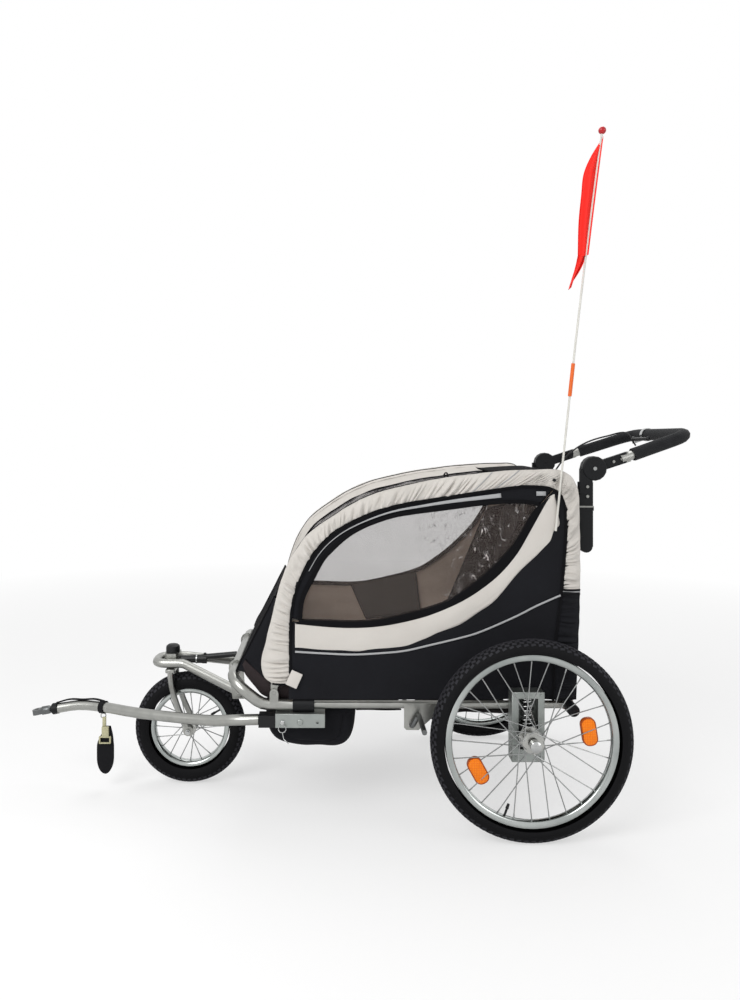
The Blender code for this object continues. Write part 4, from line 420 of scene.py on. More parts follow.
satinMetal("satinTube", silver, silverDark, 0.34)
satinMetal("greySteel", paint(165, 169, 166), paint(144, 149, 146), 0.46)
satinMetal("chrome", paint(196, 197, 196), paint(160, 162, 162), 0.2)
satinMetal("castMetal", paint(118, 120, 120), paint(84, 86, 87), 0.4)
satinMetal("brightRim", paint(206, 209, 207), paint(112, 120, 118), 0.13, patch=8.0)
satinMetal("spokeSteel", paint(172, 173, 172), paint(138, 140, 140), 0.28)
satinMetal("hubSteel", paint(182, 182, 178), paint(160, 161, 158), 0.24)
mouldedPlastic("blackPlastic", blackMoulding, 0.5)
mouldedPlastic("blackPaint", paint(20, 21, 22), 0.36, grain=0.5, coat=0.1)
mouldedPlastic("whiteRod", paint(226, 224, 217), 0.38, grain=0.6)
mouldedPlastic("orangeSleeve", paint(240, 110, 40), 0.4)
mouldedPlastic("redBall", paint(196, 20, 32), 0.3, coat=0.4)
mouldedPlastic("beigeClip", paint(190, 186, 152), 0.45)
closedCellFoam("gripFoam", paint(20, 21, 23), paint(36, 37, 39))
tyreRubber("tyreRubber", paint(17, 17, 19), paint(8, 8, 10))
tyreRubber("treadRubber", paint(56, 56, 60), paint(34, 34, 38))
wovenCloth("paleCloth", paint(213, 209, 203), paint(192, 187, 181))
wovenCloth("blackCloth", paint(24, 25, 30), paint(12, 12, 15), crease=1.6, specular=0.16)
wovenCloth("liningCloth", paint(40, 37, 37), paint(24, 22, 23), specular=0.12)
wovenCloth("greyLining", paint(238, 216, 198), paint(194, 174, 159), crease=1.8, specular=0.15)
wovenCloth("deepBlackCloth", paint(15, 14, 17), paint(7, 7, 9), crease=1.6, specular=0.06, sheen=0.0)
wovenCloth("binding", paint(15, 15, 18), paint(8, 8, 10), crease=0.2, specular=0.1)
wovenCloth("greyPiping", paint(176, 177, 178), paint(150, 151, 153), roughness=0.45, crease=0.2)
wovenCloth("webbing", paint(22, 22, 25), paint(11, 11, 13), crease=0.2, specular=0.15)
wovenCloth("flagCloth", paint(255, 42, 26), paint(226, 20, 12), roughness=0.6, crease=0.6)
# both films carry painted highlights along their creases and painted shade across their crinkles; the roof
# film has them all over and strongest
clearFilm("clearFilm", paint(88, 80, 76), paint(112, 102, 98), 0.145, 0.2, 1.0)
clearFilm("roofFilm", paint(58, 54, 57), paint(176, 172, 174), 0.38, -0.2, 3.4)
fineMesh("meshNet", paint(20, 20, 22), 0.35)
fineMesh("pocketNet", paint(70, 70, 66), 0.62)
fineMesh("gussetMesh", paint(44, 37, 38), 0.92)
amberLens("amberLens", paint(236, 112, 0), paint(255, 150, 0))
amberLens("amberFrame", paint(150, 62, 0), paint(188, 86, 0))

# where silver pieces turn black
blackFrom = {
    "socketX": 0.714, "boltY": 0.2406, "strutBoltX": 0.598, "strutBoltY": 0.2518,
    "strutBoltZ": (0.838, 0.875), "strutLineZ": (0.8142, 0.8182), "tubeCapY": 0.279, "tubeSleeveX": -0.1533,
    "towEndX": -0.838, "carrierBlockY": 0.3295,
}


def strutBlack(x, y, z):
    # the whole strut but its bolts and one bright line
    outer = edge(y, blackFrom["strutBoltY"]) * edge(x, blackFrom["strutBoltX"])
    return (1.0 - outer * band(z, *blackFrom["strutBoltZ"])) * (1.0 - band(z, *blackFrom["strutLineZ"]))


silverAndBlack("hingeBlack", strutBlack)
silverAndBlack("handleTube", lambda x, y, z: (
    below(x, blackFrom["socketX"]) * below(y, blackFrom["boltY"])))
silverAndBlack("cappedTube", lambda x, y, z: edge(y, blackFrom["tubeCapY"]))
silverAndBlack("sleevedTube", lambda x, y, z: edge(x, blackFrom["tubeSleeveX"]))
silverAndBlack("towTube", lambda x, y, z: below(x, blackFrom["towEndX"]))
silverAndBlack("stubAxle", lambda x, y, z: below(y, blackFrom["carrierBlockY"]))
slotFinish = {
    "satin_tube": "satinTube", "grey_steel": "greySteel", "chrome": "chrome", "black_plastic": "blackPlastic",
    "black_paint": "blackPaint", "black_foam": "gripFoam", "tyre_rubber": "tyreRubber",
    "pale_cloth": "paleCloth", "black_cloth": "blackCloth", "clear_film": "clearFilm",
    "flag_cloth": "flagCloth", "white_rod": "whiteRod",
}
nodeFinish = {
    "handle_bar": "handleTube", "left_handle_hinge": "hingeBlack", "right_handle_hinge": "hingeBlack",
    "rear_crossbar": "cappedTube", "front_bumper": "sleevedTube", "tow_bar": "towTube",
    "left_axle_carrier": "stubAxle", "right_axle_carrier": "stubAxle", "front_fork": "satinTube",
    "brake_bar": "castMetal", "hitch_coupler": "castMetal", "swivel_head": "satinTube",
}
# the record's slot for new pieces in each finish; the others are black cloth
slotFinishes = {
    "chrome": ("chrome", "brightRim", "spokeSteel", "hubSteel", "amberLens", "amberFrame"),
    "tyre_rubber": ("tyreRubber", "treadRubber"),
    "black_plastic": ("blackPlastic", "blackPaint"),
    "pale_cloth": ("paleCloth", "greyPiping"),
    "clear_film": ("clearFilm", "roofFilm"),
    "flag_cloth": ("flagCloth",),
    "white_rod": ("whiteRod", "orangeSleeve", "redBall"),
}
print("finishes made:", len(finishes))


# Shared making


def vectors(points):
    return [Vector(p) for p in points]


def clamp(value):
    return min(max(value, 0), 1)


def shares(count):
    # this many numbers, evenly from 0 to 1
    return [i / (count - 1) for i in range(count)]


def arc(share):
    # 0 at both ends and 1 in the middle
    return math.sin(math.pi * share)


def uneven(x, y, z):
    # a smooth random height from -1 to 1
    return noise.noise(Vector((x, y, z)))


def atY(line, y):
    return [Vector((p.x, y, p.y)) for p in line]


def smoothLine(points, steps=6):
    # a smooth line through the points, with this many steps between two of them
    points = vectors(points)
    ends = [2 * points[0] - points[1], *points, 2 * points[-1] - points[-2]]
    path = []
    for a, b, c, d in zip(ends, ends[1:], ends[2:], ends[3:]):
        for i in range(steps):
            t = i / steps
            path.append(0.5 * (2 * b + (c - a) * t + (2 * a - 5 * b + 4 * c - d) * t * t
                               + (3 * b - a - 3 * c + d) * t ** 3))
    path.append(points[-1])
    return path


def evenLine(points, count):
    # this many points, evenly spaced along a line
    lengths = [0.0]
    for a, b in zip(points, points[1:]):
        lengths.append(lengths[-1] + (b - a).length)
    path = []
    at = 0
    for i in range(count):
        want = lengths[-1] * i / (count - 1)
        while at < len(points) - 2 and lengths[at + 1] < want:
            at += 1
        share = (want - lengths[at]) / max(lengths[at + 1] - lengths[at], 1e-9)
        path.append(points[at].lerp(points[at + 1], min(share, 1.0)))
    return path


def offsetLine(line, first, last=None, power=1.0):
    # a line of (X, Z) moved to its left, by a distance that may run from first to last
    last = first if last is None else last
    moved = []
    for i, here in enumerate(line):
        ahead = line[min(i + 1, len(line) - 1)] - line[max(i - 1, 0)]
        left = Vector((-ahead.y, ahead.x)).normalized()
        moved.append(here + left * (first + (last - first) * (i / (len(line) - 1)) ** power))
    return moved


def lineLength(points):
    return sum((b - a).length for a, b in zip(points, points[1:]))


def ripple(s, v, size, seed):
    # a crease height from -1 to 1, long across the cloth and short along it
    return uneven(s / size, v, seed)


def settle(made, finish, body, stands=(), slot=None):
    # gives a piece its finish, puts it on its body when it has one, and hides the nodes it stands in for
    made.data.materials.append(finishes[finish].material)
    if body:
        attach(made, body)
    slot or next((s for s, names in slotFinishes.items() if finish in names), "black_cloth")
    if stands:
        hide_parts(*stands)
    return made


def pieceFrom(name, shape, finish, body="cabin", stands=(), slot=None, sharp=35.0):
    data = meshOf(name, shape)
    data.shade_smooth()
    if sharp:
        data.set_sharp_from_angle(angle=math.radians(sharp))
    return settle(addObject(name, data), finish, body, stands, slot)


def clothFrom(name, rows, finish, body="cabin", stands=(), thick=0.0011, held="stretched", rests=()):
    # a sheet of cloth through rows of points, its UV map in metres
    wide = len(rows[0])
    rowLength = max(lineLength(row) for row in rows)
    columnLength = max(lineLength([row[j] for row in rows]) for j in range(0, wide, max(1, wide // 6)))
    shape = bmesh.new()
    bmesh.ops.create_grid(shape, x_segments=wide - 1, y_segments=len(rows) - 1, size=1.0)
    shape.verts.ensure_lookup_table()
    for i, vert in enumerate(shape.verts):
        vert.co = rows[i // wide][i % wide]
    layer = shape.loops.layers.uv.new("UVMap")
    for face in shape.faces:
        for loop in face.loops:
            i, j = divmod(loop.vert.index, wide)
            loop[layer].uv = (rowLength * j / (wide - 1), columnLength * i / (len(rows) - 1))
    area = sum(face.calc_area() for face in shape.faces)
    made = pieceFrom(name, shape, finish, body, stands, sharp=0)
    wall = made.modifiers.new("thickness", "SOLIDIFY")
    wall.thickness = thick
    wall.offset = 0.0
    return made


def gridRows(count, columns, place):
    # rows of points; place gives each from its two shares
    return [[place(u, v) for v in shares(columns)] for u in shares(count)]


def ribbonRows(first, second, count, across, height):
    # rows of points between two lines of (X, Z); height gives each point's Y from its two shares
    rows = []
    for u, a, b in zip(shares(count), evenLine(first, count), evenLine(second, count)):
        places = [(v, a.lerp(b, v)) for v in shares(across)]
        rows.append([Vector((here.x, height(u, v, here), here.y)) for v, here in places])
    return rows


def ribbon(name, first, second, count, across, height, finish, **more):
    clothFrom(name, ribbonRows(first, second, count, across, height), finish, **more)


def evaluatedMesh(made):
    bpy.context.view_layer.update()
    return bpy.data.meshes.new_from_object(made.evaluated_get(bpy.context.evaluated_depsgraph_get()))


def pipe(name, points, radius=0.0026, finish="binding", body="cabin", stands=(), slot=None, closed=False):
    data = bpy.data.curves.new(name, "CURVE")
    data.dimensions = "3D"
    data.bevel_depth = radius
    data.bevel_resolution = 4
    data.use_fill_caps = not closed
    line = data.splines.new("POLY")
    line.points.add(len(points) - 1)
    for point, place in zip(line.points, points):
        point.co = (*place, 1.0)
    line.use_cyclic_u = closed
    line.use_smooth = True
    curve = addObject(name, data)
    tube = evaluatedMesh(curve)
    bpy.data.objects.remove(curve)
    shape = bmesh.new()
    shape.from_mesh(tube)
    bmesh.ops.remove_doubles(shape, verts=shape.verts, dist=0.000005)
    bmesh.ops.recalc_face_normals(shape, faces=shape.faces)
    return pieceFrom(name, shape, finish, body, stands, slot, sharp=50)


def spun(shape, profile, centre, axis, steps):
    # a closed profile of (radius, height) turned round an axis, added to an empty bmesh
    turn = Vector(axis).normalized().to_track_quat("Z", "Y").to_matrix().to_4x4()
    place = Matrix.Translation(centre) @ turn
    verts = [shape.verts.new(place @ Vector((r, 0, z))) for r, z in profile]
    edges = [shape.edges.new(pair) for pair in zip(verts, [*verts[1:], verts[0]])]
    bmesh.ops.spin(shape, geom=verts + edges, cent=Vector(centre), axis=Vector(axis).normalized(),
                   angle=math.tau, steps=steps, use_merge=True)
    bmesh.ops.remove_doubles(shape, verts=shape.verts, dist=0.000002)
    bmesh.ops.recalc_face_normals(shape, faces=shape.faces)


def block(shape, matrix, size):
    made = bmesh.ops.create_cube(shape, size=1.0)
    bmesh.ops.transform(shape, matrix=matrix @ Matrix.Diagonal((*size, 1.0)), verts=made["verts"])


def rounded(shape, offset, segments, edges=None):
    bmesh.ops.bevel(shape, geom=edges or shape.edges[:], offset=offset, segments=segments, profile=0.5,
                    affect="EDGES", material=-1)


def rod(shape, start, end, radius, segments=8, endRadius=None):
    start = Vector(start)
    end = Vector(end)
    made = bmesh.ops.create_cone(shape, cap_ends=True, segments=segments, radius1=radius,
                                 radius2=endRadius or radius, depth=(end - start).length)
    turn = (end - start).to_track_quat("Z", "Y").to_matrix().to_4x4()
    bmesh.ops.transform(shape, matrix=Matrix.Translation((start + end) / 2) @ turn, verts=made["verts"])


def rodPiece(name, rods, finish, body="cabin"):
    shape = bmesh.new()
    for each in rods:
        rod(shape, *each)
    pieceFrom(name, shape, finish, body)


# Rigid pieces keep their solids, with a finish and smooth shading over the facets

smoothing = {"weld": 0.00001, "sharpAngle": 38.0}
replacedNodes = {
    "left_tyre", "right_tyre", "front_tyre", "left_rim", "right_rim", "front_rim", "left_spoked_hub",
    "right_spoked_hub", "front_spoked_hub", "left_coil_spring", "right_coil_spring", "left_side_panel",
    "right_side_panel", "left_window", "right_window", "canopy", "front_apron", "rear_panel", "footwell",
    "seat_base", "seat_back", "harness", "flag_pennant", "flag_pole", "brake_cable", "safety_strap",
}


def dressRigidNodes():
    for name, node in frame["nodes"].items():
        if name in replacedNodes:
            continue
        node.data.materials.clear()
        node.data.materials.append(finishes[nodeFinish.get(name, slotFinish[slotOf[name]])].material)
        if "custom_normal" in node.data.attributes:
            node.data.attributes.remove(node.data.attributes["custom_normal"])
        node.data.shade_smooth()
        weld = node.modifiers.new("weld", "WELD")
        weld.merge_threshold = smoothing["weld"]
        split = node.modifiers.new("edges", "EDGE_SPLIT")
        split.split_angle = math.radians(smoothing["sharpAngle"])


dressRigidNodes()
print("rigid nodes dressed")

# Wheels

rearWheel = {
    "rimRadius": 0.213, "rimDepth": 0.017, "rimWidth": 0.025, "spokes": 28, "flangeRadius": 0.027,
    "axleRadius": 0.0063, "hubHalf": 0.025, "treadCount": 84, "treadDepth": 0.002, "steps": 128,
    "reflectors": ((9, 0.1425), (209, 0.151)), "reflectorSize": (0.038, 0.07, 0.011),
    "reflectorCorner": 0.0172, "reflectorFrame": 0.003, "lensRise": 0.0024,
}
frontWheel = {
    "rimRadius": 0.112, "rimDepth": 0.014, "rimWidth": 0.03, "spokes": 20, "flangeRadius": 0.02,
    "axleRadius": 0.0048, "hubHalf": 0.028, "treadCount": 60, "treadDepth": 0.0022, "steps": 96,
}
wheelFit = {
    "rimWall": 0.002, "rimLip": 0.007, "hubBarrel": 0.013, "hubSteps": 48, "spokeRadius": 0.0014,
    "nippleLength": 0.011, "nippleRadius": (0.0019, 0.0015), "beadGap": 0.003, "tyreWall": 0.004,
    "tyreWidth": 0.985, "treadColumns": 7, "treadSpread": 55.0, "knobWidth": 0.24, "knobLength": 0.62,
    "knobSlant": 0.25, "knobSink": 0.0002,
}


def nodeCentre(node):
    low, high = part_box(node)
    return (low + high) / 2


def makeTyre(node, size):
    low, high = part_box(node)
    centre = nodeCentre(node)
    radius = (high.z - low.z) / 2
    half = (high.y - low.y) / 2
    crown = radius - size["treadDepth"]
    middle = radius - half
    bulge = crown - middle
    wall = wheelFit["tyreWall"]
    waist = math.acos((size["rimRadius"] + wheelFit["beadGap"] - middle) / half)
    outer = [(middle + bulge * math.cos(t), half * wheelFit["tyreWidth"] * math.sin(t))
             for t in [waist * (1 - 2 * share) for share in shares(19)]]
    inner = [(middle + (bulge - wall) * math.cos(t), (half - wall) * math.sin(t))
             for t in [waist * (2 * share - 1) for share in shares(9)]]
    shape = bmesh.new()
    spun(shape, outer + inner, centre, (0, 1, 0), size["steps"])
    pieceFrom(node + "_carcass", shape, "tyreRubber", bodyOf[node], [node])
    shape = bmesh.new()
    columns = wheelFit["treadColumns"]
    depth = size["treadDepth"]
    for i in range(size["treadCount"]):
        for j in range(columns):
            odd = j % 2
            tilt = math.radians(wheelFit["treadSpread"]) * (2 * j / (columns - 1) - 1)
            angle = math.tau * (i + 0.5 * odd) / size["treadCount"]
            pitch = math.tau * (middle + bulge * math.cos(tilt)) / size["treadCount"]
            slant = wheelFit["knobSlant"] * (1 - 2 * odd)
            place = (Matrix.Translation(centre) @ Matrix.Rotation(angle, 4, "Y")
                     @ Matrix.Translation((middle, 0, 0)) @ Matrix.Rotation(tilt, 4, "Z")
                     @ Matrix.Translation((bulge + depth / 2 - wheelFit["knobSink"], 0, 0))
                     @ Matrix.Rotation(slant, 4, "X"))
            block(shape, place, (depth, half * wheelFit["knobWidth"], pitch * wheelFit["knobLength"]))
    pieceFrom(node + "_tread", shape, "treadRubber", bodyOf[node])


def makeRim(node, size):
    radius = size["rimRadius"]
    half = size["rimWidth"] / 2
    lip = half - wheelFit["rimWall"]
    bed = radius - wheelFit["rimLip"]
    well = radius - size["rimDepth"]
    side = [(radius, half), (radius - 0.002, half + 0.0006), (radius - 0.006, half),
            (well + 0.004, half * 0.92), (well + 0.0008, half * 0.6), (well, half * 0.2)]
    inside = [(radius, lip), (bed, lip), (bed, -lip), (radius, -lip)]
    profile = [*inside, *[(r, -z) for r, z in side], *side[::-1]]
    shape = bmesh.new()
    spun(shape, profile, nodeCentre(node), (0, 1, 0), size["steps"])
    pieceFrom(node + "_hoop", shape, "brightRim", bodyOf[node], [node], sharp=50)


def spokeEnds(index, size, flangeZ):
    # where a cross-laced spoke starts on its flange and ends at the rim, in the wheel's own frame
    count = size["spokes"]
    angle = math.tau * index / count
    flange = 1 if index % 2 else -1
    lean = 1 if (index // 2) % 2 else -1
    start = angle + lean * 3 * math.tau / (count / 2)
    reach = size["flangeRadius"] - 0.0035
    end = size["rimRadius"] - size["rimDepth"] + 0.0006
    low = flange * (flangeZ + 0.0011 * lean)
    return (Vector((reach * math.cos(start), reach * math.sin(start), low)),
            Vector((end * math.cos(angle), end * math.sin(angle), flange * 0.002)))


def makeSpokedHub(node, size, outward):
    centre = nodeCentre(node)
    half = size["hubHalf"]
    flange = size["flangeRadius"]
    out = half - 0.004
    barrel = wheelFit["hubBarrel"]
    side = [(size["axleRadius"], half), (barrel * 0.78, half), (barrel * 0.82, out + 0.0005),
            (flange * 0.9, out), (flange, out - 0.0008), (flange, out - 0.0022), (flange * 0.9, out - 0.003),
            (barrel + 0.002, out - 0.005), (barrel, out - 0.01)]
    shape = bmesh.new()
    spun(shape, side + [(r, -z) for r, z in side[::-1]], centre, (0, outward, 0), wheelFit["hubSteps"])
    pieceFrom(node + "_shell", shape, "hubSteel", bodyOf[node], [node])
    shape = bmesh.new()
    place = Matrix.Translation(centre) @ Vector((0, outward, 0)).to_track_quat("Z", "Y").to_matrix().to_4x4()
    for i in range(size["spokes"]):
        start, end = spokeEnds(i, size, out - 0.0015)
        rod(shape, place @ start, place @ end, wheelFit["spokeRadius"])
        nipple = end + (start - end).normalized() * wheelFit["nippleLength"]
        foot, tip = wheelFit["nippleRadius"]
        rod(shape, place @ end, place @ nipple, foot, 6, tip)
    pieceFrom(node + "_spokes", shape, "spokeSteel", bodyOf[node])


def makeReflectors(node, size):
    wide, long, thick = size["reflectorSize"]
    rim = size["reflectorFrame"]
    for number, (angle, reach) in enumerate(size["reflectors"]):
        a = math.radians(angle)
        cols = vectors(((math.cos(a), 0, math.sin(a)), (-math.sin(a), 0, math.cos(a)), (0, -1, 0)))
        place = Matrix.Translation(nodeCentre(node) + cols[0] * reach) @ Matrix(cols).transposed().to_4x4()
        for part, inset, rise in (("Frame", 0, 0), ("Lens", rim, size["lensRise"])):
            shape = bmesh.new()
            block(shape, Matrix(), (wide - 2 * inset, long - 2 * inset, thick + rise))
            uprights = [e for e in shape.edges if abs((e.verts[0].co - e.verts[1].co).normalized().z) > 0.9]
            rounded(shape, size["reflectorCorner"] - inset, 6, uprights)
            level = [e for e in shape.edges if abs(e.verts[0].co.z - e.verts[1].co.z) < 1e-6]
            rounded(shape, 0.001, 2, level)
            bmesh.ops.transform(shape, matrix=place, verts=shape.verts)
            bmesh.ops.recalc_face_normals(shape, faces=shape.faces)
            pieceFrom(f"{node}_reflector_{part.lower()}_{number + 1}", shape, "amber" + part, bodyOf[node])


def makeWheels():
    for side, label in sides:
        makeTyre(label + "_tyre", rearWheel)
        makeRim(label + "_rim", rearWheel)
        makeSpokedHub(label + "_spoked_hub", rearWheel, side)
        makeReflectors(label + "_spoked_hub", rearWheel)
    makeTyre("front_tyre", frontWheel)
    makeRim("front_rim", frontWheel)
    makeSpokedHub("front_spoked_hub", frontWheel, -1)


makeWheels()
print("wheels made")

# Coil springs

coilSpring = {"turns": 7, "wire": 0.0018, "pointsPerTurn": 28, "coilRadius": 0.0158, "travel": 0.025}


def makeCoil(side, label):
    low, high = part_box(label + "_coil_spring")
    centre = (low + high) / 2
    wire = coilSpring["wire"]
    bottom = low.z + wire
    top = high.z - wire
    close = 2.5 * wire
    turns = coilSpring["turns"]
    path = []
    for i in range(turns * coilSpring["pointsPerTurn"] + 1):
        turn = i / coilSpring["pointsPerTurn"]
        inner = min(max(turn - 1, 0), turns - 2) / (turns - 2)
        ends = min(turn, 1) + max(turn - (turns - 1), 0)
        angle = math.tau * turn
        path.append((centre.x + coilSpring["coilRadius"] * math.cos(angle),
                     centre.y + coilSpring["coilRadius"] * math.sin(angle),
                     bottom + close * ends + (top - bottom - 2 * close) * inner))
    made = pipe(label + "_coil_wire", path, wire, "chrome", "frame", [label + "_coil_spring"])
    label + "_suspension"
    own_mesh(made)


for side, label in sides:
    makeCoil(side, label)
print("springs made")

# Cabin sides

cabin = {
    "panelY": 0.2834,
    "sleeveOuter": [(-0.205, 0.369), (-0.225, 0.386), (-0.2325, 0.424), (-0.2195, 0.482), (-0.203, 0.552),
                    (-0.187, 0.616), (-0.165, 0.674), (-0.133, 0.7256), (-0.105, 0.755), (-0.056, 0.79),
                    (-0.004, 0.823), (0.061, 0.852), (0.139, 0.873), (0.223, 0.89), (0.321, 0.903),
                    (0.405, 0.9105), (0.509, 0.914)],
    "rearEdge": [(0.509, 0.914), (0.531, 0.911), (0.555, 0.897), (0.569, 0.876), (0.575, 0.852),
                 (0.577, 0.813), (0.579, 0.609), (0.569, 0.3275)],
    "seamFront": [(-0.157, 0.366), (-0.159, 0.45), (-0.158, 0.5275), (-0.1526, 0.574), (-0.1425, 0.612),
                  (-0.126, 0.652), (-0.1041, 0.6935), (-0.074, 0.73), (-0.048, 0.7531), (-0.004, 0.7793),
                  (0.035, 0.7974), (0.0739, 0.8117), (0.1259, 0.8247), (0.1781, 0.8338), (0.2476, 0.8445),
                  (0.352, 0.8605), (0.43, 0.871)],
    "seamRear": [(0.43, 0.871), (0.482, 0.8695), (0.508, 0.8635), (0.5288, 0.849), (0.539, 0.818),
                 (0.543, 0.7686), (0.54, 0.7037), (0.532, 0.61), (0.515, 0.4625), (0.509, 0.3275)],
    "windowTop": [(-0.1344, 0.53), (-0.1306, 0.5715), (-0.12, 0.603), (-0.1046, 0.6313), (-0.0773, 0.682),
                  (-0.0507, 0.7117), (-0.022, 0.7376), (0.009, 0.7584), (0.048, 0.7766), (0.0999, 0.7938),
                  (0.152, 0.8031), (0.2476, 0.8153), (0.316, 0.8245), (0.38, 0.83), (0.44, 0.83),
                  (0.474, 0.824)],
    "windowBottom": [(-0.1344, 0.53), (-0.0624, 0.5279), (0.0026, 0.526), (0.0675, 0.531),
                     (0.1325, 0.5455), (0.1975, 0.562), (0.246, 0.5814), (0.3, 0.618), (0.339, 0.65),
                     (0.378, 0.688), (0.404, 0.7166), (0.43, 0.756), (0.451, 0.794), (0.474, 0.824)],
    "bindingLow": [(-0.147, 0.523), (-0.0624, 0.515), (0.0026, 0.5126), (0.0675, 0.5165), (0.1325, 0.528),
                   (0.1975, 0.5457), (0.273, 0.5778), (0.332, 0.615), (0.378, 0.654), (0.417, 0.701),
                   (0.4457, 0.75), (0.4744, 0.802), (0.4977, 0.841), (0.513, 0.851)],
    "sweepLow": [(-0.147, 0.4565), (-0.0624, 0.4517), (0.0026, 0.45), (0.0675, 0.453), (0.1259, 0.458),
                 (0.165, 0.471), (0.2137, 0.4954), (0.273, 0.5198), (0.32, 0.551), (0.3624, 0.5814),
                 (0.417, 0.6465), (0.451, 0.68), (0.4978, 0.7218), (0.508, 0.7347), (0.5157, 0.758),
                 (0.5288, 0.7737), (0.5237, 0.8076), (0.513, 0.849)],
    "pipingLine": [(-0.147, 0.4505), (-0.0624, 0.4457), (0.0026, 0.4435), (0.0675, 0.4467),
                   (0.1325, 0.453), (0.1975, 0.4677), (0.273, 0.4856), (0.327, 0.502), (0.414, 0.54),
                   (0.467, 0.567), (0.528, 0.594)],
    "stripeLine": [(-0.112, 0.655), (-0.089, 0.694), (-0.06, 0.727), (-0.02, 0.757), (0.035, 0.784),
                   (0.1, 0.8065), (0.171, 0.82), (0.26, 0.834), (0.377, 0.848)],
    "stripePatch": (0.479, 0.8527),
    "snapButton": (0.511, 0.887, (0.284, 0.2962), 0.0042),
    "pocketTop": [(0.01, 0.522), (0.218, 0.563)],
    "pocketLow": [(0.059, 0.411), (0.234, 0.432)],
    "wingFront": [(0.437, 0.774), (0.314, 0.481)],
    "wingBack": [(0.534, 0.79), (0.5, 0.481)],
    "wingY": 0.219,
    "surroundEnd": (0.515, 0.872),
    "clothEnds": ((-0.163, 0.527), (0.522, 0.872)),
    "clothHem": [(-0.163, 0.3275), (0.1, 0.3275), (0.545, 0.3275), (0.556, 0.55), (0.552, 0.8)],
    "besideHousing": (0.2785, 0.03),
    "lining": (0.0078, 0.0042),
    "slowSwell": 0.0016,
    "fineSwell": 0.0007,
    "calmFrom": 0.3,
    "calmTo": 0.5,
    "foldSlant": -1.1,
    "colourChange": 0.609,
    "ruffleDepth": 0.0105,
    "pleat": 0.0135,
    "borderRows": 560,
    "pleatLine": 0.034,
    "rearRows": 340,
    "rearRowStep": 0.002,
    "seams": ((1, 0.353), (2, 0.422)),
    "panelEdgeY": 0.2836,
    "sleeveSection": [(0.16, 0.236), (0.08, 0.252), (0.01, 0.266), (0.0, 0.275), (0.05, 0.2818),
                      (0.13, 0.2856), (0.22, 0.2875), (0.32, 0.2885), (0.43, 0.289), (0.54, 0.289),
                      (0.65, 0.2886), (0.76, 0.2878), (0.86, 0.2866), (0.94, 0.2852), (1.0, 0.2846)],
}
layerOut = {  # from the panel outwards
    "pocket": -0.015, "innerBinding": -0.0135, "film": -0.0016, "sweep": 0.0022, "binding": 0.003,
    "seamPiping": 0.0034, "stripe": 0.0046, "sweepPiping": 0.005,
}


def gathered(s, v, size, seed):
    # puffy folds with sharp valleys between them, from -1 to about 1
    return 4.2 * abs(ripple(s, v, size, seed)) - 1.0


def borderSection(outer, inner, side, s, seed, slant):
    # one row across the sleeve: from the roof, over its rounded edge, down to the seam
    row = []
    across = inner - outer
    width = across.length
    section = cabin["sleeveSection"]
    calm = 1 - 0.5 * clamp((outer.x - cabin["calmFrom"]) / 0.1) * clamp((cabin["calmTo"] - outer.x) / 0.02)
    for k, (share, y) in enumerate(section):
        v = k / (len(section) - 1)
        lean = s + slant * share * width
        depth = cabin["ruffleDepth"] * (0.1 + 0.9 * arc(clamp(max(share - 0.04, 0) ** 1.25)))
        lift = depth * calm * (0.5 * gathered(lean, v * 0.8, cabin["pleat"], seed)
                               + 0.55 * ripple(lean, v * 0.6, cabin["pleatLine"], seed + 7)
                               + 0.12 * ripple(lean, v * 2, 0.005, seed + 2))
        wave = 0.0016 * ripple(s, 0.0, 0.03, seed + 3) * (1 - v)
        here = outer + across * (share + wave / max(width, 0.01))
        if k < 3:
            here = here - across.normalized() * lift * 0.4
        else:
            y = max(y + lift, cabin["panelEdgeY"])
        row.append(Vector((here.x, side * y, here.y)))
    return row


def makeBorder(side, label):
    arch = label + "_arch_side"
    outer = evenLine(smoothLine(cabin["sleeveOuter"]), cabin["borderRows"])
    inner = evenLine(smoothLine(cabin["seamFront"]), cabin["borderRows"])
    step = lineLength(outer) / (len(outer) - 1)
    rows = [borderSection(a, b, side, i * step, 1.3 + side, 0.0)
            for i, (a, b) in enumerate(zip(outer, inner))]
    clothFrom(label + "_arch_sleeve", rows, "paleCloth", arch, rests=[label + "_arch"])
    pipe(label + "_sleeve_hem", [p + Vector((0, 0, -0.001)) for p in rows[0][3:]], 0.003, body=arch)
    for number, x in cabin["seams"]:
        near = min(rows, key=lambda row: abs(row[4].x - x))
        line = [p + Vector((0, side * 0.0011, 0)) for p in near[3:-1]]
        pipe(f"{label}_sleeve_seam_{number}", line, 0.0013, "greyPiping", arch)
    rear = evenLine(smoothLine(cabin["rearEdge"]), cabin["rearRows"])
    seam = evenLine(smoothLine(cabin["seamRear"]), cabin["rearRows"])
    rows = []
    for i, (a, b) in enumerate(zip(rear, seam)):
        slant = cabin["foldSlant"] * clamp((a.y - 0.66) / 0.06)
        rows.append(borderSection(a, b, side, i * cabin["rearRowStep"], 5.1 + side, slant))
    change = next(i for i, p in enumerate(rear) if p.y < cabin["colourChange"])
    clothFrom(label + "_rear_sleeve", rows[:change + 1], "paleCloth", rests=["rear_upright"])
    clothFrom(label + "_rear_sleeve_low", rows[change:], "blackCloth", rests=["rear_upright"])
    for name, lift, finish in (("a", 0, "binding"), ("b", 3, "greyPiping"), ("c", 6, "binding")):
        line = [p + Vector((0, side * 0.0008, 0)) for p in rows[change + lift][2:]]
        pipe(f"{label}_sleeve_line_{name}", line, 0.0017, finish, slot="black_cloth")
    x, z, (inside, out), radius = cabin["snapButton"]
    button = ((x, side * inside, z), (x, side * out, z), radius, 20)
    rodPiece(label + "_snap_button", [button], "blackPlastic")


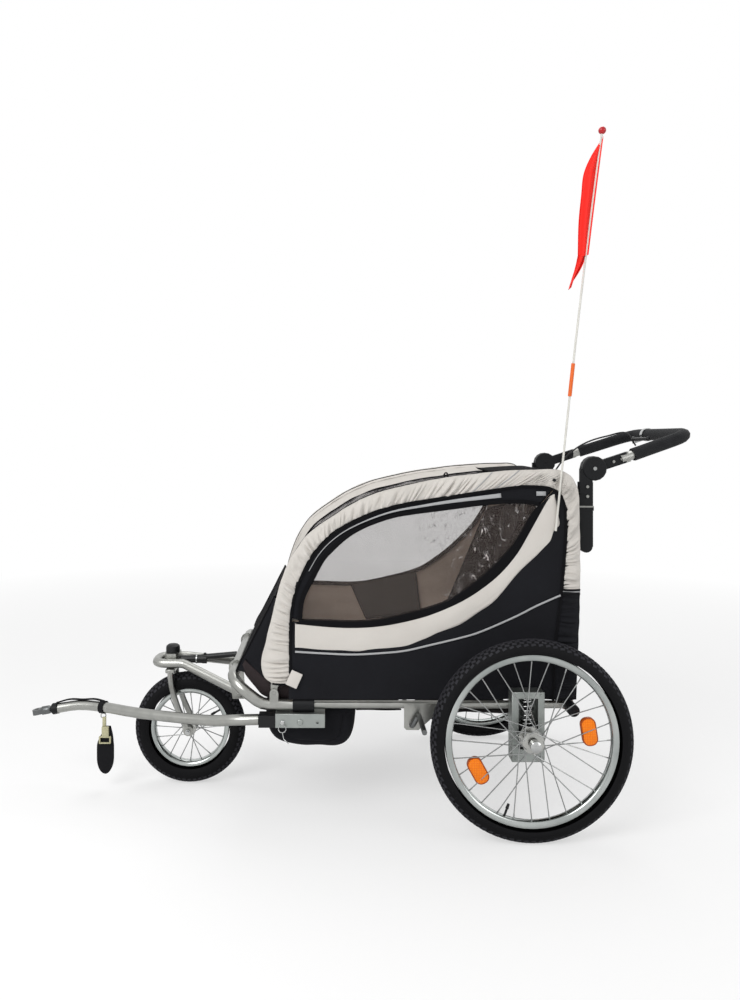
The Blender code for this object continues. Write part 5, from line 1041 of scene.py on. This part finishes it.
def sideHeight(side, swell, seed):
    # a cloth's Y over the side, with slow sags and finer creases
    def height(u, v, here):
        slow = cabin["slowSwell"] * uneven(here.x * 6.0, here.y * 5.0, seed)
        fine = cabin["fineSwell"] * uneven(here.x * 22.0 + here.y * 9.0, here.y * 12.0, seed + 4)
        return side * (cabin["panelY"] + (swell + slow + fine) * arc(clamp(v)))
    return height


def flatAt(side, out):
    return lambda u, v, here: side * (cabin["panelY"] + out)


def awayFromHousing(rows, side):
    # the lower cloth passes between the rail and the suspension housing
    low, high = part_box(("left" if side < 0 else "right") + "_suspension_housing")
    narrow, reach = cabin["besideHousing"]
    for row in rows:
        for point in row:
            near = clamp(1 - max(low.x - point.x, point.x - high.x, 0) / reach)
            near *= clamp((high.z + reach - point.z) / reach)
            if near:
                limit = narrow + (abs(point.y) - narrow) * (1 - near)
                point.y = side * min(abs(point.y), limit)
    return rows


def makeInside(side, label):
    # what shows through the far window: its inner binding, the seat's side wing and the pocket
    bottom = smoothLine(cabin["windowBottom"])
    ribbon(label + "_inner_binding", offsetLine(bottom, 0.001), offsetLine(bottom, -0.009), 140, 4,
           flatAt(side, layerOut["innerBinding"]), "binding")

    def wingY(u, v, here):
        return side * (cabin["wingY"] + 0.01 * arc(v) + 0.004 * ripple(here.y, v * 2, 0.05, 3.0))

    ribbon(label + "_seat_wing", vectors(cabin["wingFront"]), vectors(cabin["wingBack"]), 40, 14, wingY,
           "deepBlackCloth")
    if side > 0:
        rows = ribbonRows(vectors(cabin["pocketTop"]), vectors(cabin["pocketLow"]), 30, 16,
                          flatAt(side, layerOut["pocket"]))
        clothFrom(label + "_wall_pocket", rows, "pocketNet")
        rim = [*[row[0] for row in rows], *rows[-1], *[row[-1] for row in rows[::-1]], *rows[0][::-1]]
        pipe(label + "_wall_pocket_binding", rim)


def makeSide(side, label):
    top = smoothLine(cabin["windowTop"])
    bottom = smoothLine(cabin["windowBottom"])
    bindingLow = smoothLine(cabin["bindingLow"])
    seam = smoothLine(cabin["seamFront"])
    # black ground round the window, which runs on under the sleeve
    under = offsetLine(seam, 0.01, 0.006)
    start = next(i for i, p in enumerate(under) if p.y > 0.53)
    ribbon(label + "_window_surround", top, [*under[start:], Vector(cabin["surroundEnd"])], 120, 8,
           sideHeight(side, 0.0004, 11.0), "blackCloth", stands=[label + "_side_panel"])
    front, rear = vectors(cabin["clothEnds"])
    ground = [front, *offsetLine(bottom, -0.004)[6:], rear]
    hem = vectors(cabin["clothHem"])
    rows = awayFromHousing(ribbonRows(ground, hem, 150, 46, sideHeight(side, 0.003, 3.0)), side)
    clothFrom(label + "_side_cloth", rows, "blackCloth")
    # the grey lining inside
    inset, waver = cabin["lining"]
    inner = [[p - Vector((0, side * (inset + waver * uneven(p.x * 4, p.z * 26, 31.0 + side)), 0))
              for p in row] for row in rows]
    clothFrom(label + "_side_lining", inner, "greyLining")
    makeInside(side, label)
    # pale sweep under the window
    rows = ribbonRows(bindingLow, smoothLine(cabin["sweepLow"]), 150, 12, sideHeight(side, 0.0032, 3.0))
    rows = [[Vector((p.x, p.y + side * layerOut["sweep"], p.z)) for p in row] for row in rows]
    clothFrom(label + "_pale_sweep", rows, "paleCloth")
    # the window's clear film and its black binding

    def filmY(u, v, here):
        crease = 0.0014 * uneven(here.x * 14, here.y * 11, 2.0 + side)
        return side * (cabin["panelY"] + layerOut["film"] + crease)

    def bindingY(u, v, here):
        return side * (cabin["panelY"] + layerOut["binding"] + 0.0012 * arc(v))

    ribbon(label + "_window_film", offsetLine(top, 0.006), offsetLine(bottom, -0.006), 160, 60, filmY,
           "clearFilm", stands=[label + "_window"], thick=0.0005)
    ribbon(label + "_window_binding_top", offsetLine(top, -0.0055, -0.0035), offsetLine(top, 0.0066, 0.0055),
           140, 6, bindingY, "binding")
    ribbon(label + "_window_binding_bottom", offsetLine(bottom, 0.001), offsetLine(bindingLow, -0.002),
           140, 8, bindingY, "binding")
    # the reflective stripe over the window and the grey piping under the sweep
    stripeY = side * (cabin["panelY"] + layerOut["stripe"])
    stripe = smoothLine(cabin["stripeLine"], 8)
    ribbon(label + "_window_stripe", offsetLine(stripe, 0.0008, 0.0055, 2.5),
           offsetLine(stripe, -0.0008, -0.0055, 2.5), 90, 4, lambda u, v, here: stripeY, "greyPiping")
    x, z = cabin["stripePatch"]
    rows = [[Vector((x + 0.012 * i, stripeY, z + 0.0055 * j)) for i in (-1, 0, 1)] for j in (-1, 0, 1)]
    clothFrom(label + "_stripe_patch", rows, "greyPiping")
    line = atY(smoothLine(cabin["pipingLine"], 8), side * (cabin["panelY"] + layerOut["sweepPiping"]))
    pipe(label + "_sweep_piping", line, finish="greyPiping")
    # black piping along the sleeve's seam
    line = [*seam, *smoothLine(cabin["seamRear"])[1:]]
    pipe(label + "_seam_piping", atY(line, side * (cabin["panelY"] + layerOut["seamPiping"])), 0.0034)
    print(label, "side made")


for side, label in sides:
    makeBorder(side, label)
    makeSide(side, label)

# Roof, front and rear of the cabin

roof = {
    "filmHalf": 0.205, "edgeHalf": 0.252, "dip": 0.026, "sag": 0.008, "flapFrom": 0.398, "flapRise": 0.034,
    "frontZ": 0.5, "lift": 0.002, "pipingLift": 0.0012,
    "rearCorner": [(0.53, 0.909), (0.553, 0.896), (0.5665, 0.876), (0.5715, 0.85)],
    "loopPlace": (0.2415, -0.256, 0.8975), "loopSize": (0.005, 0.0065),
}


def roofLine():
    line = offsetLine(smoothLine(cabin["sleeveOuter"]), -roof["lift"])
    return evenLine([p for p in line if p.y > roof["frontZ"]] + vectors(roof["rearCorner"]), 150)


def acrossRows(line, first, last, columns, seed, depth=0.0012, rise=0.0):
    # the strips slope in from the sleeves to the film, which hangs a little
    rows = []
    for i, here in enumerate(line):
        ahead = (line[min(i + 1, len(line) - 1)] - line[max(i - 1, 0)]).normalized()
        inward = Vector((ahead.y, -ahead.x))
        along = arc(i / (len(line) - 1)) ** 0.5
        row = []
        for share in shares(columns):
            y = first + (last - first) * share
            slope = clamp((roof["edgeHalf"] - abs(y)) / (roof["edgeHalf"] - roof["filmHalf"]))
            middle = max(0.0, 1 - (y / roof["filmHalf"]) ** 2)
            hang = roof["dip"] * slope * (3 - 2 * slope) * slope + roof["sag"] * middle
            hang = hang * (0.25 + 0.75 * along) - rise * along * middle ** 0.5
            crease = depth * uneven(here.x * 16, y * 9, seed + here.y * 12)
            place = here + inward * (hang + crease)
            row.append(Vector((place.x, y, place.y)))
        rows.append(row)
    return rows


def raised(points, height):
    return [p + Vector((0, 0, height)) for p in points]


def makeRoof():
    line = roofLine()
    flap = next(i for i, p in enumerate(line) if p.x > roof["flapFrom"])
    film = roof["filmHalf"]
    lift = roof["pipingLift"]
    rows = acrossRows(line, -film - 0.004, film + 0.004, 48, 4.0, 0.0026)
    clothFrom("canopy_film", rows[:flap + 6], "roofFilm", stands=["canopy"], thick=0.0005)
    rows = acrossRows(line[flap:], -film - 0.01, film + 0.01, 48, 9.0, 0.003, roof["flapRise"])
    clothFrom("canopy_flap", rows, "deepBlackCloth")
    for side, label in sides:
        rows = acrossRows(line, side * film, side * (roof["edgeHalf"] + 0.006), 16, 6.0 + side, 0.002)
        clothFrom(label + "_canopy_strip", rows, "paleCloth")
        pipe(label + "_canopy_binding", raised([row[0] for row in rows], lift))
        pipe(label + "_canopy_piping", raised([row[-2] for row in rows], lift), 0.0018)
    for number, at in ((1, flap), (2, 0)):
        row = acrossRows(line, -film, film, 40, 4.0)[at]
        pipe(f"canopy_cross_binding_{number}", raised(row, 0.001), 0.003)
    x, y, z = roof["loopPlace"]
    wide, high = roof["loopSize"]
    turns = [math.tau * i / 20 for i in range(20)]
    loop = [Vector((x + wide * math.cos(t), y, z + high * math.sin(t))) for t in turns]
    pipe("canopy_loop", loop, 0.0018, closed=True)


apronSlope = [(-0.29, 0.416), (-0.27, 0.45), (-0.238, 0.512), (-0.215, 0.556)]
apron = {
    "line": [(-0.3, 0.3905), *apronSlope, (-0.202, 0.582)],
    "half": 0.254,
    "wing": ([(-0.297, 0.394), *apronSlope, (-0.202, 0.581)],
             [(-0.2, 0.372), (-0.213, 0.4), (-0.214, 0.45), (-0.203, 0.51), (-0.193, 0.556),
              (-0.188, 0.581)]),
    "gusset": ([(-0.285, 0.407), (-0.277, 0.384), (-0.25, 0.35), (-0.2315, 0.33), (-0.2, 0.32),
                (-0.15, 0.32)],
               [(-0.277, 0.423), (-0.245, 0.394), (-0.2154, 0.368), (-0.195, 0.366), (-0.17, 0.367),
                (-0.15, 0.37)]),
    "wingSwell": 0.01,
    "hang": 0.007,
    "crease": 0.0022,
}


def makeApron():
    half = apron["half"]
    line = evenLine(smoothLine(apron["line"]), 50)

    def hung(u, share):
        here = line[round(u * (len(line) - 1))]
        v = 2 * share - 1
        hang = apron["hang"] * (1 - v * v) * arc(u)
        crease = apron["crease"] * uneven(v * 5, u * 3, 8.0)
        return Vector((here.x + hang + crease, v * half, here.y - hang * 0.4))

    def wingY(side):
        return lambda u, v, here: side * (half + apron["wingSwell"] * v + 0.004 * arc(v))

    rows = gridRows(len(line), 60, hung)
    clothFrom("apron_cloth", rows, "deepBlackCloth", "frame", ["front_apron"], rests=["front_bumper"])
    for side, label in sides:
        line = [Vector((row[0].x, side * half, row[0].z)) for row in rows]
        pipe(label + "_apron_binding", line, 0.0028, body="frame")
        for part, finish in (("wing", "blackCloth"), ("gusset", "gussetMesh")):
            first, second = apron[part]
            ribbon(f"{label}_apron_{part}", smoothLine(first), smoothLine(second), 40, 12, wingY(side),
                   finish, body="frame")
        line = atY(smoothLine(apron["gusset"][1]), side * (half + 0.003))
        pipe(label + "_gusset_binding", line, body="frame")
    x, z = apron["line"][-1]
    lip = [Vector((x, half * (2 * share - 1), z + 0.0015)) for share in shares(21)]
    pipe("apron_lip", lip, 0.0028, body="frame")


rearWall = {"x": 0.5676, "top": 0.85, "bottom": 0.34, "half": 0.226, "pocketTop": 0.56,
            "pocketOut": 0.0035, "swell": 0.005, "crease": 0.0018}


def makeRear():
    top = rearWall["top"]

    def place(u, share):
        v = 2 * share - 1
        swell = rearWall["swell"] * arc(u) * (1 - v * v)
        crease = rearWall["crease"] * uneven(v * 4, u * 59 / 14, 21.0)
        z = top + (rearWall["bottom"] - top) * u
        return Vector((rearWall["x"] + swell + crease, v * rearWall["half"], z))

    rows = gridRows(60, 50, place)
    clothFrom("rear_cloth", rows, "blackCloth", stands=["rear_panel"], rests=["rear_upright"])
    first = next(i for i, row in enumerate(rows) if row[0].z < rearWall["pocketTop"])
    pocket = [[p + Vector((rearWall["pocketOut"], 0, 0)) for p in row[6:44]] for row in rows[first:54]]
    clothFrom("rear_pocket", pocket, "meshNet")
    rim = [*pocket[0], *[row[-1] for row in pocket], *pocket[-1][::-1], *[row[0] for row in pocket[::-1]]]
    pipe("rear_pocket_binding", rim)
    pipe("rear_top_binding", rows[0], 0.003)


footBag = {
    "line": [(-0.228, 0.29), (-0.227, 0.25), (-0.214, 0.214), (-0.19, 0.196), (-0.15, 0.187),
             (-0.08, 0.183), (-0.035, 0.182), (-0.008, 0.196), (0.006, 0.232), (0.012, 0.288)],
    "half": 0.235,
    "centre": (-0.11, 0.262),
    "rimZ": 0.286,
    "taper": 0.28,
    "lowest": 0.1795,
    "crease": 0.003,
    "endSwell": 0.006,
    "floorFront": 0.01,
    "floorZ": 0.2845,
}


def makeFootBag():
    half = footBag["half"]
    line = evenLine(smoothLine(footBag["line"]), 60)
    centre = Vector(footBag["centre"])

    def bagged(share, u):
        i = round(u * (len(line) - 1))
        here = line[i]
        v = 2 * share - 1
        if here.y < footBag["rimZ"]:
            here = here.lerp(centre, footBag["taper"] * (1 - (1 - abs(v) ** 14) ** 0.5))
        crease = footBag["crease"] * uneven(v * 5, i / 9, 14.0)
        return Vector((here.x, v * half, max(here.y + crease, footBag["lowest"])))

    rows = gridRows(50, len(line), bagged)
    clothFrom("foot_bag", rows, "blackCloth", "frame", ["footwell"], held="hung",
              rests=["left_rail", "right_rail"])
    end = [Vector((p.x, p.z)) for p in rows[0]]
    middle = len(end) // 2

    def endY(side):
        return lambda u, v, here: side * (half - 0.001 + footBag["endSwell"] * arc(v) * arc(u))

    for side, label in sides:
        ribbon(label + "_foot_bag_end", end[:middle], end[:middle - 1:-1], 24, 16, endY(side), "blackCloth",
               body="frame", held="hung")
    start = footBag["floorFront"]
    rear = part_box("footwell")[1].x
    z = footBag["floorZ"]
    rows = [[Vector((start + (rear - start) * i / 12, half * j / 12, z + 0.0006 * math.sin(i * j)))
             for j in range(-12, 13)] for i in range(13)]
    clothFrom("floor_cloth", rows, "liningCloth", "frame")


makeRoof()
makeApron()
makeRear()
makeFootBag()
print("cabin made")

# Seat

padding = {"shrink": 0.985, "voxel": 0.006, "pressure": 4.0, "frames": 18, "furthest": 0.006}


def mergedCopy(node, name):
    shape = bmesh.new()
    shape.from_mesh(frame["nodes"][node].data)
    bmesh.ops.remove_doubles(shape, verts=shape.verts, dist=0.00002)
    return addObject(name, meshOf(name, shape))


def applied(made):
    data = evaluatedMesh(made)
    made.modifiers.clear()
    made.data = data


def makePad(node, name):
    made = mergedCopy(node, name)
    centre = sum((v.co for v in made.data.vertices), Vector()) / len(made.data.vertices)
    for vert in made.data.vertices:
        vert.co = centre + (vert.co - centre) * padding["shrink"]
    remesh = made.modifiers.new("remesh", "REMESH")
    remesh.mode = "VOXEL"
    remesh.voxel_size = padding["voxel"]
    applied(made)
    rest = [v.co.copy() for v in made.data.vertices]
    cloth = made.modifiers.new("cloth", "CLOTH")
    cloth.settings.use_pressure = True
    cloth.settings.uniform_pressure_force = padding["pressure"]
    cloth.settings.effector_weights.gravity = 0.0
    cloth.point_cache.frame_start = 1
    cloth.point_cache.frame_end = padding["frames"]
    for number in range(1, padding["frames"] + 1):
        bpy.context.scene.frame_set(number)
    applied(made)
    for vert, start in zip(made.data.vertices, rest):
        push = vert.co - start
        if push.length > padding["furthest"]:
            vert.co = start + push.normalized() * padding["furthest"]
    bpy.context.scene.frame_set(1)
    made.data.materials.clear()
    made.data.shade_smooth()
    soft = made.modifiers.new("smooth", "SUBSURF")
    soft.levels = 1
    soft.render_levels = 1
    settle(made, "liningCloth", bodyOf[node], [node])


harness = {
    "webWidth": 0.025, "webThick": 0.0016, "low": 0.085, "buckleY": 0.03, "waistFrom": 0.02,
    "shoulders": 0.075, "waist": 0.15, "belowTop": 0.05, "lift": 0.0035, "backFoot": (0.425, 0, 0.335),
    "backHead": (0.5, 0, 0.8), "backFront": 0.0225, "buckleSize": (0.046, 0.04, 0.01),
}


def makeHarness():
    foot = Vector(harness["backFoot"])
    head = Vector(harness["backHead"])
    up = (head - foot).normalized()
    ahead = Vector((-up.z, 0, up.x))
    half = harness["webWidth"] / 2
    low = harness["low"]
    lift = harness["lift"]
    reach = (head - foot).length - harness["belowTop"] - low

    def spot(rise, y, lift):
        return foot + up * rise + ahead * (harness["backFront"] + lift) + Vector((0, y, 0))

    def strap(name, rows, stands=()):
        clothFrom(name, rows, "webbing", stands=stands, thick=harness["webThick"])

    for side, label in sides:
        rows = []
        for t in shares(24):
            y = side * (harness["buckleY"] + (harness["shoulders"] - harness["buckleY"]) * t)
            rows.append([spot(low + reach * t, y + half * k, lift + 0.004 * arc(t))
                         for k in (-1, -0.4, 0.4, 1)])
        strap(label + "_shoulder_strap", rows, ["harness"] if side < 0 else ())
        rows = []
        for t in shares(16):
            y = side * (harness["waistFrom"] + (harness["waist"] - harness["waistFrom"]) * t)
            rows.append([spot(low + half * k - 0.005, y, lift + 0.0012) for k in (-1, -0.4, 0.4, 1)])
        strap(label + "_waist_strap", rows)
    shape = bmesh.new()
    turn = Matrix((up, Vector((0, 1, 0)), ahead)).transposed().to_4x4()
    block(shape, Matrix.Translation(spot(low - 0.006, 0, lift + 0.003)) @ turn, harness["buckleSize"])
    rounded(shape, 0.004, 3)
    pieceFrom("harness_buckle", shape, "blackPlastic", slot="black_cloth")


makePad("seat_base", "seat_cushion")
makePad("seat_back", "back_cushion")
makeHarness()
print("seat made")

# Flag

flag = {
    "y": -0.2915,
    "pole": [(0.515, 0.758), (0.54, 1.0), (0.567, 1.25), (0.5995, 1.52), (0.633, 1.775)],
    "poleRadius": 0.0028,
    "ferrule": (1.1, 1.183, 0.0049),
    "ball": 0.0098,
    "left": [(0.629, 1.749), (0.604, 1.707), (0.587, 1.664), (0.581, 1.611), (0.574, 1.54), (0.5715, 1.459)],
    "tail": [(0.5715, 1.459), (0.566, 1.43), (0.557, 1.398), (0.5485, 1.371)],
    "tailFrom": 0.596,
    "tailWave": 0.006,
    "thick": 0.0006,
    "poleGap": 0.005,
    "fullWidth": 0.05,
    "foldDepth": 0.01,
    "folds": (2.6, 0.25),  # how many half waves from the pole out, and down
    "forward": 0.0046,
    "droop": 0.016,
    "skew": 0.01,
}


def poleAt(z):
    line = smoothLine(flag["pole"], 10)
    for a, b in zip(line, line[1:]):
        if a.y <= z <= b.y:
            return a.lerp(b, (z - a.y) / (b.y - a.y))
    return line[-1]


def makeFlag():
    y = flag["y"]
    line = atY(smoothLine(flag["pole"], 10), y)
    pipe("flag_rod", line, flag["poleRadius"], "whiteRod", stands=["flag_pole"])
    low, high, radius = flag["ferrule"]
    sleeve = [Vector((poleAt(z).x, y, z)) for z in [low + (high - low) * t for t in shares(9)]]
    pipe("flag_joint", sleeve, radius, "orangeSleeve")
    shape = bmesh.new()
    bmesh.ops.create_uvsphere(shape, u_segments=24, v_segments=16, radius=flag["ball"])
    bmesh.ops.translate(shape, vec=line[-1], verts=shape.verts)
    pieceFrom("flag_ball", shape, "redBall")
    leftEdge = evenLine(smoothLine(flag["left"], 8), 70)
    out, down = flag["folds"]
    rows = []
    for u, corner in zip(shares(len(leftEdge)), leftEdge):
        hold = poleAt(corner.y).x
        near = hold + flag["poleGap"]
        depth = flag["foldDepth"] * abs(corner.x - hold) / flag["fullWidth"]
        row = []
        for t in shares(22):
            fold = depth * arc(out * t + down * u) * min(1, 3 * t) - flag["forward"] * (1 - t) ** 2
            z = corner.y - flag["droop"] * t * (1 - t) + flag["skew"] * (1 - t) * (1 - u)
            row.append(Vector((near + (corner.x - near) * t, y + fold, z)))
        rows.append(row)
    hanging = {"thick": flag["thick"], "held": "hung", "rests": ["flag_rod"]}
    clothFrom("flag_cloth", rows, "flagCloth", stands=["flag_pennant"], **hanging)
    tail = evenLine(smoothLine(flag["tail"], 8), 24)
    rows = []
    for u, corner in zip(shares(len(tail)), tail):
        right = flag["tailFrom"] + (corner.x + 0.004 - flag["tailFrom"]) * min(1, u * 1.25) ** 0.8
        rows.append([Vector((corner.x + (right - corner.x) * k / 7,
                             y + flag["tailWave"] * math.sin(k * 1.3 + u * 2),
                             corner.y + 0.004 * k / 7)) for k in range(8)])
    clothFrom("flag_tail", rows, "flagCloth", **hanging)


makeFlag()
print("flag made")

# Tow bar strap, cable and small trim

towing = {
    "line": [(-0.2412, -0.27, 0.272), (-0.3, -0.262, 0.268), (-0.389, -0.212, 0.25),
             (-0.576, -0.125, 0.238), (-0.697, -0.055, 0.232), (-0.775, -0.028, 0.229),
             (-0.85, -0.02, 0.216)],
    "barRadius": 0.014, "tether": (-0.845, -0.69), "tetherLift": 0.0035, "tetherWave": 0.006,
}
safetyStrap = {
    "place": (-0.7, -0.0537, 0.2319), "along": (-0.93, 0.36, -0.045), "gap": 0.0012, "bandThick": 0.0022,
    "bandHalf": 0.0075, "ringRadius": 0.007, "ringWire": 0.0017,
    "hook": ((-0.003, 0.005, -0.022), (0.01, 0.007, 0.028)),
    "clip": ((0.001, 0, -0.049), (0.02, 0.007, 0.03)),
    "buckleSide": (0.0148, (0.0045, 0.006, 0.02)), "buckleBar": (0.0085, (0.034, 0.006, 0.004)),
    "buckleZ": -0.0717, "loopTop": 0.036, "loopLength": 0.134, "loopWidth": 0.046, "loopThick": 0.0022,
    "loopDepth": 0.007, "loopNeck": 0.26, "loopFullAt": 0.45, "loopRoundFrom": 0.66,
}


def makeSafetyStrap():
    centre = Vector(safetyStrap["place"])
    shape = bmesh.new()
    inner = towing["barRadius"] + safetyStrap["gap"]
    outer = inner + safetyStrap["bandThick"]
    half = safetyStrap["bandHalf"]
    section = [(outer, half), (outer, -half), (inner, -half), (inner, half)]
    spun(shape, section, centre, safetyStrap["along"], 40)
    pieceFrom("strap_band", shape, "webbing", "tow_arm")
    top = centre.z - inner - 0.003
    radius = safetyStrap["ringRadius"]
    turns = [math.tau * i / 24 for i in range(24)]
    middle = top - 0.006
    ring = [Vector((centre.x + radius * math.sin(t), centre.y, middle + radius * math.cos(t)))
            for t in turns]
    pipe("strap_ring", ring, safetyStrap["ringWire"], "chrome", "strap", closed=True)
    shape = bmesh.new()
    front = Matrix.Translation((centre.x + 0.007, centre.y - 0.0095, top))
    for place, size in (safetyStrap["hook"], safetyStrap["clip"]):
        block(shape, front @ Matrix.Translation(place), size)
    low = safetyStrap["buckleZ"]
    for part in (-1, 1):
        aside, size = safetyStrap["buckleSide"]
        block(shape, front @ Matrix.Translation((part * aside, 0, low)), size)
        rise, size = safetyStrap["buckleBar"]
        block(shape, front @ Matrix.Translation((0, 0, low + part * rise)), size)
    rounded(shape, 0.0016, 2)
    pieceFrom("strap_clip", shape, "beigeClip", "strap")
    makeStrapLoop(centre, top - safetyStrap["loopTop"])


def makeStrapLoop(centre, top):
    # narrow where it leaves the clip, full in the middle, round at the foot
    half = safetyStrap["loopWidth"] / 2
    neck = safetyStrap["loopNeck"]
    roundFrom = safetyStrap["loopRoundFrom"]
    rows = []
    for t in shares(61):
        drop = 1 - abs(1 - 2 * t) ** 1.7
        depth = -safetyStrap["loopDepth"] * math.cos(math.pi * t) * (0.45 + 0.55 * arc(t))
        foot = max(drop - roundFrom, 0) / (1 - roundFrom)
        wide = half * (neck + (1 - neck) * arc(min(drop / safetyStrap["loopFullAt"], 1) / 2))
        wide *= max(1 - foot ** 2, 0.004) ** 0.5
        x = centre.x + 0.006 + 0.008 * max(1 - 3.0 * drop, 0)
        z = top - safetyStrap["loopLength"] * drop
        rows.append([Vector((x + k * wide, centre.y + depth, z)) for k in (-1, -0.9, -0.4, 0, 0.4, 0.9, 1)])
    loop = clothFrom("strap_loop", rows, "webbing", "strap", ["safety_strap"], safetyStrap["loopThick"],
                     held="hung", rests=["strap_clip"])
    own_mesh(loop)


def makeTowTrim():
    # a tether lies on the bar's front end in waves
    front, rear = towing["tether"]
    cord = []
    for p in smoothLine(towing["line"], 12):
        if front < p.x < rear:
            wave = 0.5 + 0.5 * math.sin((p.x - front) * 60)
            rise = towing["tetherWave"] * wave * arc((p.x - front) / (rear - front))
            cord.append(p + Vector((0, 0, towing["barRadius"] + towing["tetherLift"] + rise)))
    rows = [[p + Vector((0, k * 0.0055, -abs(k) * 0.0016)) for k in (-1, -0.3, 0.3, 1)]
            for p in evenLine(cord, 40)]
    clothFrom("tether_strap", rows, "webbing", "tow_arm", thick=0.0022, held="laid", rests=["tow_bar"])


cable = {
    "radius": 0.0025,
    "line": [(0.8648, 0.097, 0.9717), (0.85, 0.135, 1.01), (0.806, 0.178, 1.0), (0.76, 0.196, 0.985),
             (0.719, 0.205, 0.962), (0.68, 0.214, 0.925), (0.64, 0.2212, 0.868), (0.6, 0.2222, 0.835),
             (0.56, 0.2222, 0.8), (0.528, 0.2222, 0.74), (0.522, 0.2222, 0.6), (0.522, 0.2222, 0.42),
             (0.515, 0.2262, 0.35), (0.485, 0.242, 0.308), (0.4, 0.246, 0.303), (0.3, 0.246, 0.303),
             (0.2, 0.246, 0.3), (0.15, 0.246, 0.272)],
    "splitAt": 10,
    "handleBend": ((0.615, 0.222, 0.85), (0.7, 0.21, 0.945)),
    "foldBend": ((0.522, 0.2222, 0.44), (0.47, 0.242, 0.305)),
}

trim = {
    "valves": {"left": (250, 0.196), "right": (70, 0.196), "front": (29, 0.098)}, "valveLength": 0.03,
    "hookTab": ((-0.149, 0.2925, 0.3815), (0.03, 0.0022, 0.04), 24),
    "hingeBolt": (0.627, 0.915, (0.253, 0.256), 0.0048),
    "stayZ": 0.3535,
    "staySleeves": ((-0.499, -0.447, 0.0108), (-0.4468, -0.427, 0.0118), (-0.4268, -0.415, 0.0128),
                    (-0.4455, -0.4425, 0.0126)),  # the last is the bright band
    "stayButton": (-0.4205, 0.0175, 0.0042),
}


def makeCable():
    path = smoothLine(cable["line"])
    split = 6 * cable["splitAt"]
    upper = pipe("cable_housing", path[:split + 1], cable["radius"], "blackPlastic", None, ["brake_cable"])
    lower = pipe("cable_housing_low", path[split:], cable["radius"], "blackPlastic", None)
    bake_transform(upper)
    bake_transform(lower)


def makeSmallTrim():
    for label, (angle, radius) in trim["valves"].items():
        node = label + "_rim"
        centre = nodeCentre(node)
        out = Vector((math.cos(math.radians(angle)), 0, math.sin(math.radians(angle))))
        foot, stem, cap, tip = [centre + out * (radius - trim["valveLength"] * s) for s in (0, 0.7, 0.6, 1)]
        parts = ((foot, stem, 0.0029, 12), (cap, tip, 0.0042, 12, 0.0032))
        rodPiece(label + "_valve", parts, "blackPlastic", bodyOf[node])
    for side, label in sides:
        (x, y, z), size, lean = trim["hookTab"]
        shape = bmesh.new()
        turn = Matrix.Rotation(math.radians(lean), 4, "Y")
        block(shape, Matrix.Translation((x, side * y, z)) @ turn, size)
        rounded(shape, 0.0009, 2)
        pieceFrom(label + "_hook_tab", shape, "paleCloth", label + "_arch_side")
        x, z, (inner, outer), radius = trim["hingeBolt"]
        bolt = ((x, side * inner, z), (x, side * outer, z), radius, 24)
        rodPiece(label + "_hinge_bolt", [bolt], "chrome", "handle")
    z = trim["stayZ"]
    *black, bright = [((start, 0, z), (end, 0, z), radius, 28) for start, end, radius in trim["staySleeves"]]
    x, rise, radius = trim["stayButton"]
    rodPiece("stay_clamp", [*black, ((x, 0, z), (x, 0, z + rise), radius, 16)], "blackPaint", "frame")
    rodPiece("stay_clamp_band", [bright], "chrome", "frame")


makeSafetyStrap()
makeTowTrim()
makeCable()
makeSmallTrim()
print("trim made")

# The cabin folds forward; here the cloth pieces named in each folding group get a mesh of their own

folding = {  # words in the pieces' names, axis, anchor and share kept
    "sides": (("window", "side_cloth", "side_lining", "pale_sweep", "stripe_patch", "sweep_piping",
               "seam_piping", "inner_binding", "wall_pocket"), (1, 0, 0), (0.645, 0, 0), 0.04),
    "roof": (("canopy", "seat_wing"), (1, 0, 0), (0.6, 0, 0), 0.03),
    "rearSleeve": (("rear_sleeve", "sleeve_line", "snap_button"), (1, 0, 0), (0.606, 0, 0), 0.06),
    "seatBack": (("back_cushion", "shoulder_strap", "waist_strap", "harness_buckle"),
                 (1, 0, 0), (0.582, 0, 0), 0.12),
    "apron": (("apron", "gusset"), (0, 0, 1), (0, 0, 0.372), 0.12),
}


def foldTogether():
    for words, axis, anchor, keep in folding.values():
        for made in list(bpy.data.objects):
            own = made.type == "MESH" and made.name not in frame["nodes"]
            if own and any(word in made.name for word in words):
                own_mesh(made)


foldTogether()
